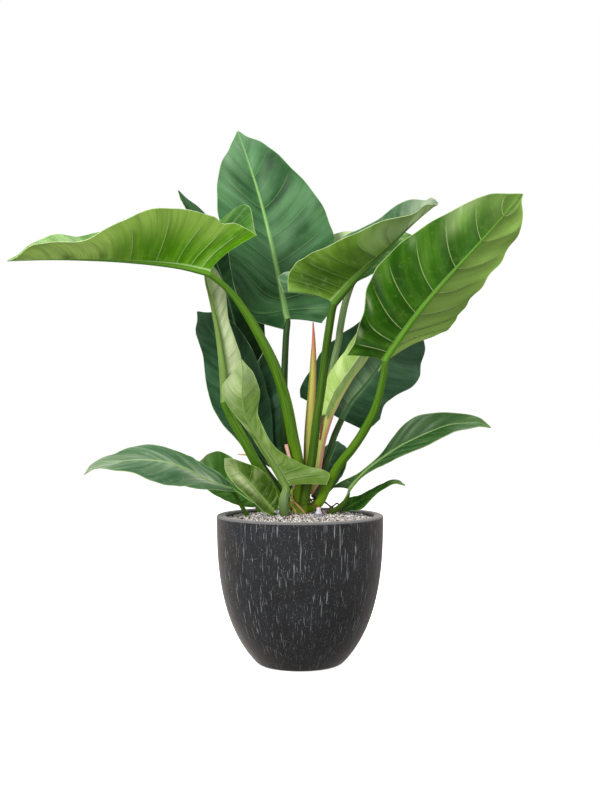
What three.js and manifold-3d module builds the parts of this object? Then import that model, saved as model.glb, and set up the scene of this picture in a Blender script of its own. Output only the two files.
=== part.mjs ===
// Imperial green philodendron in a round clay-fibre planter.
// Millimetres, +Z up. The origin is the middle of the pot's flat foot, on the floor.
// The plant's front looks along -Y, with +X to its right in the view from the front.
// Each leaf is a thin blade on a fleshy stalk. The stalks stand round a short stem or in the granules.
import * as THREE from "three";
import Module from "manifold-3d";

const wasm = await Module();
wasm.setup();

// Pot
const POT_HEIGHT = 250;
const POT_RIM_RADIUS = 140;
const POT_WALL = 15;
const POT_FLOOR = 16;
const POT_BELLY_DEPTH = 278.6;
const POT_BELLY_POWER = 2.62;
const POT_EDGE_ROUND = 3;
const POT_INNER_EDGE_ROUND = 1;
const POT_SEGMENTS = 40;
const POT_FOOT_RADIUS = 62;
const POT_FOOT_ROUND = 7.5;
const POT_FOOT_ROUNDNESS = 2.4;
const POT_FOOT_SHARES = [0, 0.48, 0.81];
const POT_OUTER_LEVELS = [0, 0.05, 0.12, 0.2, 0.3, 0.42, 0.56, 0.72, 0.88, 1];
const POT_INNER_LEVELS = [0, 0.3, 0.6, 0.85, 1];

// Granules that fill the pot, heaped a little in the middle
const GRANULES_BELOW_RIM = 7;
const GRANULES_HEAP = 8;
const GRANULES_RELIEF = 1.4;
const GRANULES_RELIEF_PITCH = 8;
const GRANULES_RINGS = [0.88, 0.66, 0.42];

// Stem
const STEM_TOP = 300;
const STEM_RADIUS = 17;
const STEM_CENTRE_X = 0;
const STEM_CENTRE_Y = 9;
const STEM_ROOTED = 90;
const STEM_SCAR = 1.2;
const STEM_SCAR_PITCH = 15;
const STEM_CROWN_START = 20;
const STEM_CROWN_HEIGHT = 26;
const STEM_SIDES = 14;
const STEM_STEPS = 12;

// Water gauge
const GAUGE_X = 31;
const GAUGE_Y = -34;
const GAUGE_TUBE_RADIUS = 6;
const GAUGE_BOTTOM = 40;
const GAUGE_FLANGE_RADIUS = 9;
const GAUGE_NECK_RADIUS = 3.6;
const GAUGE_FLANGE_Z = 251.5;
const GAUGE_FLANGE_THICKNESS = 1.5;
const GAUGE_SKIRT_RADIUS = 5.6;
const GAUGE_SKIRT_Z = 255.5;
const GAUGE_NECK_Z = 259.5;
const GAUGE_TOP_Z = 265;
const GAUGE_SOCKET_DEPTH = 6;
const POINTER_RADIUS = 1.8;
const POINTER_STANDS_OUT = 1.5;
const POINTER_BEVEL = 0.8;
const GAUGE_SEGMENTS = 12;

// Leaves
const BLADE_THICKNESS = 1.2;
const TIP_HALF_WIDTH = 1.2;
const RIB_DEPTH = 1.3;
const RIB_THINNING = 0.6;
const RIB_MIN_HALF_WIDTH = 1;
const RIB_MAX_SHARE = 0.23;
const KNEE_LIFT = 0.7;
const KNEE_LIFT_CURVE = 3;
const SWEEP_CURVE = 1.5;
const STALK_SIDES = 8;
const STALK_STEPS = 9;
const SHORT_STALK_STEPS = 6;
const SHORT_STALK_POINTS = 4;
const ROOT_SIDES = 6;
const ROOT_STEPS = 8;

// Colours and roughness of what isn't a leaf
const POT_COLOUR = 0x33353a;
const POT_ROUGHNESS = 0.85;
const GRANULES_COLOUR = 0xa7a39a;
const GRANULES_ROUGHNESS = 0.95;
const STEM_COLOUR = 0x6f8a2f;
const GAUGE_COLOUR = 0xd6d5d0;
const POINTER_COLOUR = 0xd8562c;
const GAUGE_ROUGHNESS = 0.4;
const BLADE_ROUGHNESS = 0.45;
const STALK_ROUGHNESS = 0.5;
const ROOT_ROUGHNESS = 0.7;

// Clearance between pieces that touch
const GAP = 0.3;
const CUT_GAP = 0.34;
const MARGIN_CLEARANCE = 1.5;

// Side veins leave the rib at these shares of its length. Each one sweeps back into the basal
// lobe near the knee, by a share of the lobe's length, and forward to the tip further out.
const STATIONS = [0, 0.06, 0.15, 0.3, 0.5, 0.7, 0.85, 0.95, 1];
const FORWARD_SWEEP = [0, 0, 0, 0, 0.05, 0.07, 0.05, 0.02, 0];
const LOBE_SWEEP = [-1, -0.9, -0.55, -0.1, 0, 0, 0, 0, 0];
const VEIN_ROWS = [0, 0.04, 0.1, 0.18, 0.27, 0.37, 0.47, 0.57, 0.67, 0.77, 0.86, 0.93, 0.975, 1];
const SHORT_VEIN_ROWS = [0, 0.07, 0.17, 0.29, 0.41, 0.54, 0.67, 0.79, 0.9, 0.965, 1];
const SHORT_LEAF = 215;
const ACROSS = [0.38, 0.7, 1];

// A half blade: its half widths at the stations, its fold up from the flat in degrees at knee,
// middle and tip, and its margin wave as height, count along the blade and phase in turns
function half(reach, fold, wave) {
  return { reach: [...reach, TIP_HALF_WIDTH], fold, wave };
}

// The leaves. stalk runs from its foot to the knee and rib from the knee to the tip. face is
// where the upper side looks at the knee and at the tip. lobe is a share of the rib's length.
const LEAVES = [
  {
    name: "leaf_left_long",
    colour: 0x7fb23a,
    stalk: [[-2, -8, 275], [-4, -20, 339], [-12, -28, 381], [-22, -36, 435], [-39, -46, 492],
      [-54, -51, 525], [-88, -60, 585], [-116, -65, 622], [-147, -69, 647]],
    stalkRadius: [10.5, 9.5, 8.5, 7.5],
    rib: [[-148, -70, 646], [-195, -76, 658], [-282, -86, 667], [-385, -96, 669], [-469, -100, 666]],
    face: [[0.23, 0.13, 0.96], [0, -0.31, 0.95]],
    lobe: 0.18,
    left: half([78, 84, 94, 110, 76, 68, 38, 12], [74, 31, 29], [3, 3, 0]),
    right: half([112, 120, 92, 88, 80, 68, 38, 12], [80, 33, 32], [3, 3, 0]),
  },
  {
    name: "leaf_back_tall",
    colour: 0x4f8f63,
    stalk: [[-19, 24, 289], [-27, 30, 375], [-27, 38, 477], [-24, 48, 554], [-22, 52, 583]],
    stalkRadius: [6.5, 5.5],
    rib: [[-24, 52, 581], [-47, 66, 699], [-72, 86, 802], [-96, 112, 879], [-112, 136, 927]],
    face: [[0.42, -0.89, 0.19], [0.19, -0.85, 0.49]],
    lobe: 0.045,
    left: half([10, 65, 80, 84, 84, 60, 27, 9], [-5, 3, -8], [3, 3, 0]),
    right: half([58, 80, 87, 109, 97, 58, 33, 10], [20, 20, 18], [3, 3, 0]),
  },
  {
    name: "leaf_right_folded",
    colour: 0x5c9b45,
    stalk: [[7, -18, 269], [10, -22, 295], [19, -28, 338], [28, -36, 412], [36, -42, 464],
      [42, -48, 519], [47, -52, 555], [55, -56, 599]],
    stalkRadius: [9, 7.5, 7, 6.8, 6.5],
    rib: [[56, -56, 600], [93, -40, 645], [134, -10, 686], [193, 40, 746], [241, 70, 787]],
    face: [[-0.77, -0.01, 0.64], [-0.29, -0.58, 0.76]],
    lobe: 0.13,
    left: half([72, 95, 80, 75, 66, 45, 31, 13], [85, 38, 50], [3, 3, 0]),
    right: half([67, 84, 88, 72, 64, 50, 29, 10], [79, 41, 36], [3, 3, 0]),
  },
  {
    name: "leaf_right_broad",
    colour: 0x66a834,
    stalk: [[14, 4, 261], [24, -2, 264], [33, -10, 272], [43, -18, 294], [65, -32, 335], [87, -44, 364],
      [106, -54, 394], [123, -64, 430], [136, -73, 484], [138, -76, 506]],
    stalkRadius: [8, 7],
    rib: [[137, -76, 505], [177, -90, 565], [219, -104, 619], [293, -122, 701], [351, -130, 768]],
    face: [[-0.38, 0.81, 0.44], [0.1, 0.99, 0.03]],
    lobe: 0.06,
    left: half([8, 16, 44, 88, 63, 51, 35, 9], [30, 24, 28], [3, 3, 0]),
    right: half([67, 66, 78, 100, 87, 62, 40, 13], [-1, 6, 3], [3, 3, 0]),
  },
  {
    name: "leaf_right_dark",
    colour: 0x2c5a41,
    stalk: [[24, 14, 278], [32, 22, 293], [43, 32, 335], [50, 40, 354], [60, 56, 382], [72, 76, 407]],
    stalkRadius: [6, 5.5],
    rib: [[72, 78, 408], [89, 86, 439], [115, 96, 470], [142, 110, 507], [176, 136, 562],
      [207, 170, 619]],
    face: [[0.16, -0.97, 0.17], [0.7, -0.72, 0.05]],
    lobe: 0.01,
    left: half([83, 91, 93, 100, 84, 62, 35, 11], [4, 7, 6], [3, 2, 0]),
    right: half([50, 57, 60, 50, 78, 65, 35, 11], [29, 3, 8], [3, 3, 0]),
  },
  {
    name: "leaf_new_pale",
    colour: 0xb3cc62,
    stalk: [[16, 6, 285], [27, 6, 305], [31, 6, 336], [37, 6, 374], [50, 4, 416]],
    stalkRadius: [6, 7, 8],
    rib: [[51, 4, 418], [69, 2, 451], [89, 2, 482], [112, 6, 511], [132, 14, 545], [149, 26, 576]],
    face: [[-0.57, -0.78, 0.26], [-0.38, -0.78, 0.51]],
    lobe: 0.04,
    left: half([8, 16, 23, 36, 38, 36, 21, 7], [25, 28, 31], [2, 2, 0]),
    right: half([6, 13, 20, 28, 30, 24, 15, 5], [73, 78, 79], [2, 2, 0]),
  },
  {
    name: "leaf_left_dark",
    colour: 0x2a5240,
    stalk: [[-12, 14, 270], [-25, 15, 282], [-51, 20, 312], [-74, 29, 344]],
    stalkRadius: [7, 6],
    rib: [[-75, 30, 345], [-98, 46, 408], [-120, 62, 474], [-142, 82, 540], [-182, 108, 600]],
    face: [[0.37, -0.86, 0.35], [-0.38, -0.91, 0.14]],
    lobe: 0.09,
    left: half([16, 30, 40, 58, 44, 32, 22, 7], [42, 29, 26], [4, 3, 0]),
    right: half([20, 29, 41, 54, 55, 44, 29, 9], [-2, 9, 12], [2, 2, 0]),
  },
  {
    name: "leaf_left_pale_upper",
    colour: 0x9db58a,
    stalk: [[-20, 0, 262], [-35, -6, 275], [-50, -10, 300], [-74, -15, 339], [-95, -18, 379],
      [-114, -20, 413], [-125, -22, 440]],
    stalkRadius: [9, 8],
    rib: [[-125, -22, 443], [-128, -20, 490], [-136, -14, 552], [-146, -8, 598], [-158, -2, 647],
      [-161, 4, 683]],
    face: [[0.6, 0.8, 0], [0.41, 0.9, -0.12]],
    lobe: 0.05,
    left: half([8, 18, 30, 32, 22, 28, 22, 8], [46, 50, 35], [2, 2, 0]),
    right: half([5, 11, 17, 24, 26, 20, 12, 4], [64, 53, 57], [2, 2, 0]),
  },
  {
    name: "leaf_left_pale_lower",
    colour: 0xa9bd8f,
    stalk: [[-22, -28, 238], [-27, -33, 264], [-26, -40, 283], [-23, -45, 296]],
    stalkRadius: [8, 8],
    rib: [[-23, -46, 298], [-41, -54, 333], [-69, -64, 381], [-89, -70, 417], [-94, -72, 454],
      [-93, -70, 485], [-96, -66, 510]],
    face: [[0.32, 0.87, 0.37], [0.1, 0.98, -0.15]],
    lobe: 0.11,
    left: half([60, 72, 41, 17, 21, 32, 20, 6], [17, 37, 40], [2, 2, 0]),
    right: half([6, 10, 11, 9, 12, 37, 21, 7], [19, 15, 15], [1, 3, 0]),
  },
  {
    name: "leaf_back_left",
    colour: 0x1f4434,
    stalk: [[-19, 26, 279], [-28, 60, 302], [-38, 88, 329], [-51, 102, 360], [-75, 108, 422],
      [-89, 111, 459]],
    stalkRadius: [6, 5],
    rib: [[-89, 112, 461], [-111, 130, 547], [-142, 156, 661], [-185, 196, 767], [-229, 230, 837]],
    face: [[0.36, -0.87, 0.33], [0.57, -0.53, 0.62]],
    lobe: 0.09,
    left: half([19, 33, 43, 48, 43, 33, 20, 6], [-11, 28, 12], [2, 2, 0]),
    right: half([16, 24, 38, 66, 63, 45, 25, 8], [-7, -3, -1], [2, 2, 0]),
  },
  {
    name: "leaf_mid_dark",
    colour: 0x24493a,
    stalk: [[-8, 22, 286], [-19, 28, 297], [-26, 39, 314], [-34, 51, 335]],
    stalkRadius: [5.5, 5],
    rib: [[-35, 52, 336], [-56, 66, 382], [-70, 80, 434], [-74, 94, 482], [-66, 108, 528]],
    face: [[-0.6, -0.8, -0.03], [0.63, -0.77, 0.12]],
    lobe: 0.02,
    left: half([24, 34, 39, 39, 31, 23, 14, 5], [-26, 26, 59], [2, 2, 0]),
    right: half([18, 32, 40, 46, 47, 38, 23, 7], [-7, 15, 29], [2, 2, 0]),
  },
  {
    name: "leaf_low_left",
    colour: 0x5d8f72,
    stalk: [[-77, 1, 212], [-81, 0, 230], [-89, -4, 248], [-102, -10, 272], [-116, -15, 294]],
    stalkRadius: [4, 3.5],
    rib: [[-115, -14, 292], [-135, -26, 300], [-160, -34, 312], [-189, -44, 329], [-223, -56, 341],
      [-263, -66, 345], [-298, -74, 342], [-332, -80, 336], [-349, -84, 322]],
    face: [[0.3, -0.6, 0.7], [-0.4, -0.4, 0.8]],
    lobe: 0.01,
    left: half([9, 17, 27, 44, 61, 36, 16, 6], [25, 0, 20], [2, 2, 0]),
    right: half([9, 16, 24, 28, 38, 27, 17, 6], [16, 8, 0], [1, 2, 0]),
  },
  {
    name: "leaf_low_left_back",
    colour: 0x3f7a4e,
    stalk: [[-62, 42, 212], [-65, 44, 229], [-71, 46, 252], [-79, 51, 265]],
    stalkRadius: [4, 3.5],
    rib: [[-78, 50, 263], [-97, 58, 275], [-124, 72, 293], [-151, 88, 313], [-181, 104, 331]],
    face: [[0, -0.85, 0.53], [-0.36, -0.91, 0.21]],
    lobe: 0.04,
    left: half([8, 16, 25, 29, 34, 29, 18, 6], [21, 27, 18], [2, 2, 0]),
    right: half([8, 17, 27, 39, 44, 41, 27, 9], [18, 23, 30], [2, 2, 0]),
  },
  {
    name: "leaf_low_front",
    colour: 0x8fae6a,
    stalk: [[-27, -16, 221], [-35, -22, 239], [-42, -27, 250], [-46, -30, 255]],
    stalkRadius: [4.5, 4],
    rib: [[-47, -30, 258], [-62, -41, 278], [-78, -53, 299], [-98, -66, 324], [-112, -74, 339],
      [-122, -79, 348]],
    face: [[0.69, -0.72, 0.12], [0.46, -0.89, 0.02]],
    lobe: 0.04,
    left: half([7, 14, 22, 26, 31, 26, 17, 6], [25, 34, 6], [1, 2, 0]),
    right: half([8, 16, 24, 31, 30, 17, 10, 4], [20, 19, 19], [1, 2, 0]),
  },
  {
    name: "leaf_low_right",
    colour: 0x5a9a52,
    stalk: [[42, 6, 233], [51, 2, 252], [64, -4, 261], [74, -10, 271], [80, -14, 281], [82, -18, 291]],
    stalkRadius: [4.5, 4],
    rib: [[83, -18, 293], [92, -21, 305], [108, -27, 323], [130, -34, 342], [164, -45, 366],
      [186, -51, 378], [216, -58, 392], [243, -62, 402], [264, -65, 405], [289, -66, 406],
      [311, -66, 398]],
    face: [[-0.53, -0.83, 0.19], [0.23, -0.75, 0.62]],
    lobe: 0.07,
    left: half([26, 20, 6, 7, 33, 20, 13, 5], [17, 13, 9], [1, 2, 0]),
    right: half([5, 5, 6, 15, 25, 21, 12, 4], [15, 18, 18], [1, 2, 0]),
  },
  {
    name: "leaf_small_right",
    colour: 0x3f8a45,
    stalk: [[58, 30, 222], [65, 26, 240], [73, 22, 253]],
    stalkRadius: [3.5, 3],
    rib: [[73, 22, 253], [86, 17, 262], [103, 10, 272], [122, 2, 286], [141, -6, 299], [159, -12, 306],
      [176, -16, 300]],
    face: [[-0.61, -0.64, 0.47], [0.12, -0.63, 0.77]],
    lobe: 0.02,
    left: half([18, 24, 22, 15, 9, 7, 5, 2], [-15, -12, 12], [1, 1, 0]),
    right: half([2, 6, 12, 20, 11, 7, 5, 2], [1, 11, 20], [1, 1, 0]),
  },
  {
    name: "leaf_low_back",
    colour: 0x2d5f42,
    stalk: [[14, 22, 255], [24, 38, 262], [28, 44, 271], [31, 50, 283]],
    stalkRadius: [5, 4.5],
    rib: [[31, 50, 284], [42, 62, 316], [56, 80, 345], [67, 98, 370]],
    face: [[-0.31, -0.85, 0.42], [-0.12, -0.78, 0.61]],
    lobe: 0.07,
    left: half([14, 20, 20, 22, 25, 20, 14, 5], [11, 9, 14], [2, 2, 0]),
    right: half([15, 26, 33, 38, 37, 31, 19, 6], [19, 16, 20], [2, 2, 0]),
  },
  {
    name: "leaf_back_right",
    colour: 0x4f8a55,
    stalk: [[10, 18, 290], [19, 24, 303], [38, 34, 392], [52, 40, 477], [59, 44, 512], [66, 48, 541],
      [70, 50, 569], [79, 56, 613], [89, 60, 643]],
    stalkRadius: [6.5, 6],
    rib: [[90, 62, 645], [113, 90, 676], [141, 122, 708], [175, 156, 736], [205, 186, 747]],
    face: [[-0.43, -0.49, 0.76], [0.44, -0.66, 0.61]],
    lobe: 0.01,
    left: half([49, 76, 92, 96, 60, 36, 18, 6], [-4, 30, 10], [2, 2, 0]),
    right: half([16, 30, 38, 34, 33, 30, 19, 6], [3, -2, -8], [2, 2, 0]),
  },
];

// Sheaths, scrap and roots: centre lines with the radius at each end
const SHEATHS = [
  {
    name: "sheath_spear",
    colour: 0xc8a04a,
    line: [[6, 4, 272], [8, 1, 288], [12, 0, 332], [14, 0, 374], [19, -2, 446], [21, -3, 475], [23, -5, 539],
      [22, -6, 574]],
    radius: [6.5, 6.8, 7.6, 7, 5, 1],
  },
  {
    name: "sheath_stub",
    colour: 0xe0a48c,
    line: [[-8, -10, 285], [-12, -26, 315], [-17, -32, 344], [-23, -36, 369]],
    radius: [3, 3],
  },
  {
    name: "sheath_red_tip",
    colour: 0x6d3428,
    line: [[38, -2, 417], [37, -1, 399], [34, 0, 376]],
    radius: [0.8, 1.6, 1.8],
  },
  {
    name: "sheath_dry_scrap",
    colour: 0xc9a25e,
    line: [[-104, -10, 352], [-90, -14, 351], [-75, -18, 348]],
    radius: [0.8, 1.4, 1.6],
  },
];
const ROOTS = [
  {
    name: "root_pale_left",
    colour: 0xc08a72,
    line: [[-12, -6, 289], [-12, -24, 276], [-2, -26, 266], [7, -24, 255], [10, -22, 241]],
    radius: [1.6, 1.4],
  },
  {
    name: "root_pale_low",
    colour: 0xc08a72,
    line: [[-10, -2, 275], [-15, -22, 268], [-8, -26, 258], [-5, -26, 241]],
    radius: [1.5, 1.3],
  },
  {
    name: "root_brown_middle",
    colour: 0x5f3d2c,
    line: [[8, -2, 288], [19, -10, 274], [25, -20, 267], [33, -14, 261], [39, -6, 251], [40, -2, 237]],
    radius: [1.4, 1.2],
  },
  {
    name: "root_brown_right",
    colour: 0x5f3d2c,
    line: [[12, 10, 272], [29, 14, 275], [42, 8, 270], [50, 6, 264], [58, 8, 258], [63, 10, 241]],
    radius: [1.6, 1.4],
  },
  {
    name: "root_brown_loop",
    colour: 0x5f3d2c,
    line: [[68, 14, 236], [68, 10, 262], [63, 8, 268], [56, 2, 264], [48, -2, 259], [42, -4, 241]],
    radius: [1.4, 1.2],
  },
];

// A number between stations, smooth through all of them
function between(stations, values, u) {
  const last = stations.length - 1;
  let i = 0;
  while (i < last - 1 && u > stations[i + 1]) i += 1;
  const slope = (k) => {
    const before = Math.max(k - 1, 0);
    const after = Math.min(k + 1, last);
    return (values[after] - values[before]) / (stations[after] - stations[before]);
  };
  const step = stations[i + 1] - stations[i];
  const t = (u - stations[i]) / step;
  const rise = t * t * (3 - 2 * t);
  const bend = t * (1 - t) ** 2 * slope(i) + t * t * (t - 1) * slope(i + 1);
  return values[i] * (1 - rise) + values[i + 1] * rise + step * bend;
}

function curveThrough(points) {
  return new THREE.CatmullRomCurve3(points.map((p) => new THREE.Vector3(...p)), false, "centripetal");
}

// Place and directions at a share t of the rib's length. Beyond its ends the rib runs on straight
function ribFrame(leaf, t) {
  const inside = Math.min(Math.max(t, 0), 1);
  const place = leaf.ribCurve.getPointAt(inside);
  const tipward = leaf.ribCurve.getTangentAt(inside);
  place.addScaledVector(tipward, (t - inside) * leaf.length);
  const up = new THREE.Vector3(...leaf.face[0]).lerp(new THREE.Vector3(...leaf.face[1]), inside);
  up.addScaledVector(tipward, -up.dot(tipward)).normalize();
  const right = new THREE.Vector3().crossVectors(tipward, up);
  return { place, up, right };
}

// A point in the middle of the blade's thickness. u follows the rib from knee to tip and v runs
// from the left margin at -1 to the right one at 1. grow widens the blade all round.
function bladePoint(leaf, u, v, grow) {
  const side = v < 0 ? leaf.left : leaf.right;
  const out = Math.abs(v);
  const sweep = between(STATIONS, FORWARD_SWEEP, u) + leaf.lobe * between(STATIONS, LOBE_SWEEP, u);
  const widen = (grow / leaf.length) * (2 * u - 1) * (1 + MARGIN_CLEARANCE * out);
  const { place, up, right } = ribFrame(leaf, u + widen + sweep * out ** SWEEP_CURVE);
  const reach = out * (between(STATIONS, side.reach, u) + grow);
  const fold = THREE.MathUtils.degToRad(between([0, 0.5, 1], side.fold, u));
  const [height, count, phase] = side.wave;
  const wave = height * out * out * Math.sin(2 * Math.PI * (count * u + phase));
  const lift = KNEE_LIFT * leaf.kneeRadius * (1 - u) ** KNEE_LIFT_CURVE;
  place.addScaledVector(right, Math.sign(v) * reach * Math.cos(fold));
  return place.addScaledVector(up, reach * Math.sin(fold) + wave + lift);
}

function bladeNormal(leaf, u, v, grow) {
  const step = 0.01;
  const u0 = Math.max(u - step, 0);
  const u1 = Math.min(u + step, 1);
  const v0 = Math.max(v - step, -1);
  const v1 = Math.min(v + step, 1);
  const lengthwise = bladePoint(leaf, u1, v, grow).sub(bladePoint(leaf, u0, v, grow));
  const crosswise = bladePoint(leaf, u, v1, grow).sub(bladePoint(leaf, u, v0, grow));
  return crosswise.cross(lengthwise).normalize();
}

function indexed(positions, faces) {
  const geometry = new THREE.BufferGeometry();
  geometry.setAttribute("position", new THREE.Float32BufferAttribute(positions, 3));
  geometry.setIndex(faces);
  return geometry;
}

// A closed shell between two grids of points, triangulated alike on both faces
function gridSolid(upper, lower) {
  const rows = upper.length;
  const columns = upper[0].length;
  const positions = [...upper.flat(), ...lower.flat()].flatMap((p) => [p.x, p.y, p.z]);
  const top = (i, j) => i * columns + j;
  const bottom = (i, j) => (rows + i) * columns + j;
  const faces = [];
  for (let i = 0; i < rows - 1; i += 1) {
    for (let j = 0; j < columns - 1; j += 1) {
      faces.push(top(i, j), top(i, j + 1), top(i + 1, j + 1));
      faces.push(top(i, j), top(i + 1, j + 1), top(i + 1, j));
      faces.push(bottom(i, j), bottom(i + 1, j + 1), bottom(i, j + 1));
      faces.push(bottom(i, j), bottom(i + 1, j), bottom(i + 1, j + 1));
    }
  }
  const wall = ([i, j], [k, l]) => {
    faces.push(top(i, j), bottom(k, l), top(k, l));
    faces.push(top(i, j), bottom(i, j), bottom(k, l));
  };
  for (let j = 0; j < columns - 1; j += 1) {
    wall([0, j], [0, j + 1]);
    wall([rows - 1, j + 1], [rows - 1, j]);
  }
  for (let i = 0; i < rows - 1; i += 1) {
    wall([i + 1, 0], [i, 0]);
    wall([i, columns - 1], [i + 1, columns - 1]);
  }
  return indexed(positions, faces);
}

// A blade with its midrib standing out below. grow makes it thicker and wider all round
function bladeGeometry(leaf, grow) {
  const offset = BLADE_THICKNESS / 2 + grow;
  const upper = [];
  const lower = [];
  for (const u of leaf.length < SHORT_LEAF ? SHORT_VEIN_ROWS : VEIN_ROWS) {
    const ribHalf = Math.max(leaf.kneeRadius * (1 - u), RIB_MIN_HALF_WIDTH) + grow;
    const narrow = Math.min(between(STATIONS, leaf.left.reach, u), between(STATIONS, leaf.right.reach, u));
    const rib = Math.min(ribHalf / narrow, RIB_MAX_SHARE);
    const columns = [...ACROSS.map((v) => -v).reverse(), -rib, 0, rib, ...ACROSS];
    const points = columns.map((v) => bladePoint(leaf, u, v, grow));
    const normals = columns.map((v) => bladeNormal(leaf, u, v, grow));
    const ridge = columns.map((v) => (v === 0 ? RIB_DEPTH * ribHalf * (1 - RIB_THINNING * u) : 0));
    upper.push(points.map((p, j) => p.clone().addScaledVector(normals[j], offset)));
    lower.push(points.map((p, j) => p.clone().addScaledVector(normals[j], -offset - ridge[j])));
  }
  return gridSolid(upper, lower);
}

// Rings of points joined into a closed skin, with flat ends
function ringSolid(rings) {
  const sides = rings[0].length;
  const last = (rings.length - 1) * sides;
  const faces = [];
  for (let i = 0; i < last; i += sides) {
    for (let j = 0; j < sides; j += 1) {
      const next = (j + 1) % sides;
      faces.push(i + j, i + next, i + sides + next);
      faces.push(i + j, i + sides + next, i + sides + j);
    }
  }
  for (let j = 1; j < sides - 1; j += 1) {
    faces.push(0, j + 1, j);
    faces.push(last, last + j, last + j + 1);
  }
  return indexed(rings.flat().flatMap((p) => [p.x, p.y, p.z]), faces);
}

function radiusAlong(radii, t) {
  const along = t * (radii.length - 1);
  const i = Math.min(Math.floor(along), radii.length - 2);
  return radii[i] + (radii[i + 1] - radii[i]) * (along - i);
}

// A round tube whose radius changes along its centre line. grow makes it longer and thicker all round
function tubeGeometry(line, radii, sides, steps, grow) {
  const curve = curveThrough(line);
  const frames = curve.computeFrenetFrames(steps, false);
  const rings = [];
  for (let i = 0; i <= steps; i += 1) {
    const centre = curve.getPointAt(i / steps);
    if (i === 0) centre.addScaledVector(frames.tangents[i], -grow);
    if (i === steps) centre.addScaledVector(frames.tangents[i], grow);
    const radius = radiusAlong(radii, i / steps) + grow;
    const ring = [];
    for (let j = 0; j < sides; j += 1) {
      const angle = (2 * Math.PI * j) / sides;
      const point = centre.clone().addScaledVector(frames.normals[i], radius * Math.cos(angle));
      ring.push(point.addScaledVector(frames.binormals[i], radius * Math.sin(angle)));
    }
    rings.push(ring);
  }
  return ringSolid(rings);
}

// A profile turned round the Z axis. It starts and ends on the axis, where its points are shared
function turnedGeometry(profile, segments) {
  const positions = [];
  const starts = [];
  for (const [radius, z] of profile) {
    const count = radius === 0 ? 1 : segments;
    starts.push({ first: positions.length / 3, count });
    for (let j = 0; j < count; j += 1) {
      const angle = (2 * Math.PI * j) / segments;
      positions.push(radius * Math.cos(angle), radius * Math.sin(angle), z);
    }
  }
  const faces = [];
  const vertex = (row, j) => starts[row].first + (j % starts[row].count);
  for (let row = 0; row < profile.length - 1; row += 1) {
    for (let j = 0; j < segments; j += 1) {
      const [a, b] = [vertex(row, j), vertex(row, j + 1)];
      const [c, d] = [vertex(row + 1, j), vertex(row + 1, j + 1)];
      if (starts[row].count > 1) faces.push(a, b, c);
      if (starts[row + 1].count > 1) faces.push(b, d, c);
    }
  }
  return indexed(positions, faces);
}

// Solids to cut
function solidOf(geometry) {
  const vertProperties = new Float32Array(geometry.getAttribute("position").array);
  const triVerts = new Uint32Array(geometry.getIndex().array);
  return new wasm.Manifold(new wasm.Mesh({ numProp: 3, vertProperties, triVerts }));
}

function cut(geometry, tools) {
  const left = tools.reduce((solid, tool) => solid.subtract(tool), solidOf(geometry));
  const [largest] = left.decompose().sort((a, b) => b.volume() - a.volume());
  const { vertProperties, triVerts } = largest.getMesh();
  return indexed([...vertProperties], [...triVerts]);
}

// Pot
function potRadius(z) {
  return POT_RIM_RADIUS * Math.sqrt(1 - ((POT_HEIGHT - z) / POT_BELLY_DEPTH) ** POT_BELLY_POWER);
}

// Heights of the rows of the inner wall up to the granules' edge, as shares of the fill's depth
function fillLevel(share) {
  return POT_FLOOR + (POT_HEIGHT - GRANULES_BELOW_RIM - POT_FLOOR) * share;
}

function potGeometry() {
  const edge = POT_HEIGHT - POT_EDGE_ROUND;
  const inner = POT_HEIGHT - POT_INNER_EDGE_ROUND;
  const innerRim = POT_RIM_RADIUS - POT_WALL;
  const profile = [[0, 0]];
  const footSpan = potRadius(POT_FOOT_ROUND) - POT_FOOT_RADIUS;
  for (const share of POT_FOOT_SHARES) {
    profile.push([POT_FOOT_RADIUS + footSpan * share, POT_FOOT_ROUND * share ** POT_FOOT_ROUNDNESS]);
  }
  for (const level of POT_OUTER_LEVELS) {
    const z = POT_FOOT_ROUND + (edge - POT_FOOT_ROUND) * level;
    profile.push([potRadius(z), z]);
  }
  const middle = POT_EDGE_ROUND * (1 - Math.SQRT1_2);
  profile.push([POT_RIM_RADIUS - middle, POT_HEIGHT - middle]);
  profile.push([POT_RIM_RADIUS - POT_EDGE_ROUND, POT_HEIGHT]);
  profile.push([innerRim + POT_INNER_EDGE_ROUND, POT_HEIGHT]);
  profile.push([innerRim, inner]);
  for (const level of POT_INNER_LEVELS.toReversed()) {
    const z = fillLevel(level);
    profile.push([potRadius(z) - POT_WALL, z]);
  }
  profile.push([0, POT_FLOOR]);
  return turnedGeometry(profile, POT_SEGMENTS);
}

function granulesGeometry() {
  const bottom = POT_FLOOR + GAP;
  const top = POT_HEIGHT - GRANULES_BELOW_RIM;
  const fill = (z) => potRadius(z) - POT_WALL - GAP;
  const profile = [[0, bottom]];
  for (const level of POT_INNER_LEVELS) {
    const z = Math.max(fillLevel(level), bottom);
    profile.push([fill(z), z]);
  }
  for (const ring of GRANULES_RINGS) {
    profile.push([fill(top) * ring, top + GRANULES_HEAP * (1 - ring * ring)]);
  }
  profile.push([0, top + GRANULES_HEAP]);
  const geometry = turnedGeometry(profile, POT_SEGMENTS);
  const position = geometry.getAttribute("position");
  for (let i = 0; i < position.count; i += 1) {
    const [x, y, z] = [position.getX(i), position.getY(i), position.getZ(i)];
    const turns = (2 * Math.PI) / GRANULES_RELIEF_PITCH;
    const bump = Math.sin(turns * x) * Math.cos(turns * y);
    if (z > top + GAP) position.setZ(i, z + GRANULES_RELIEF * bump);
  }
  return geometry;
}

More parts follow.
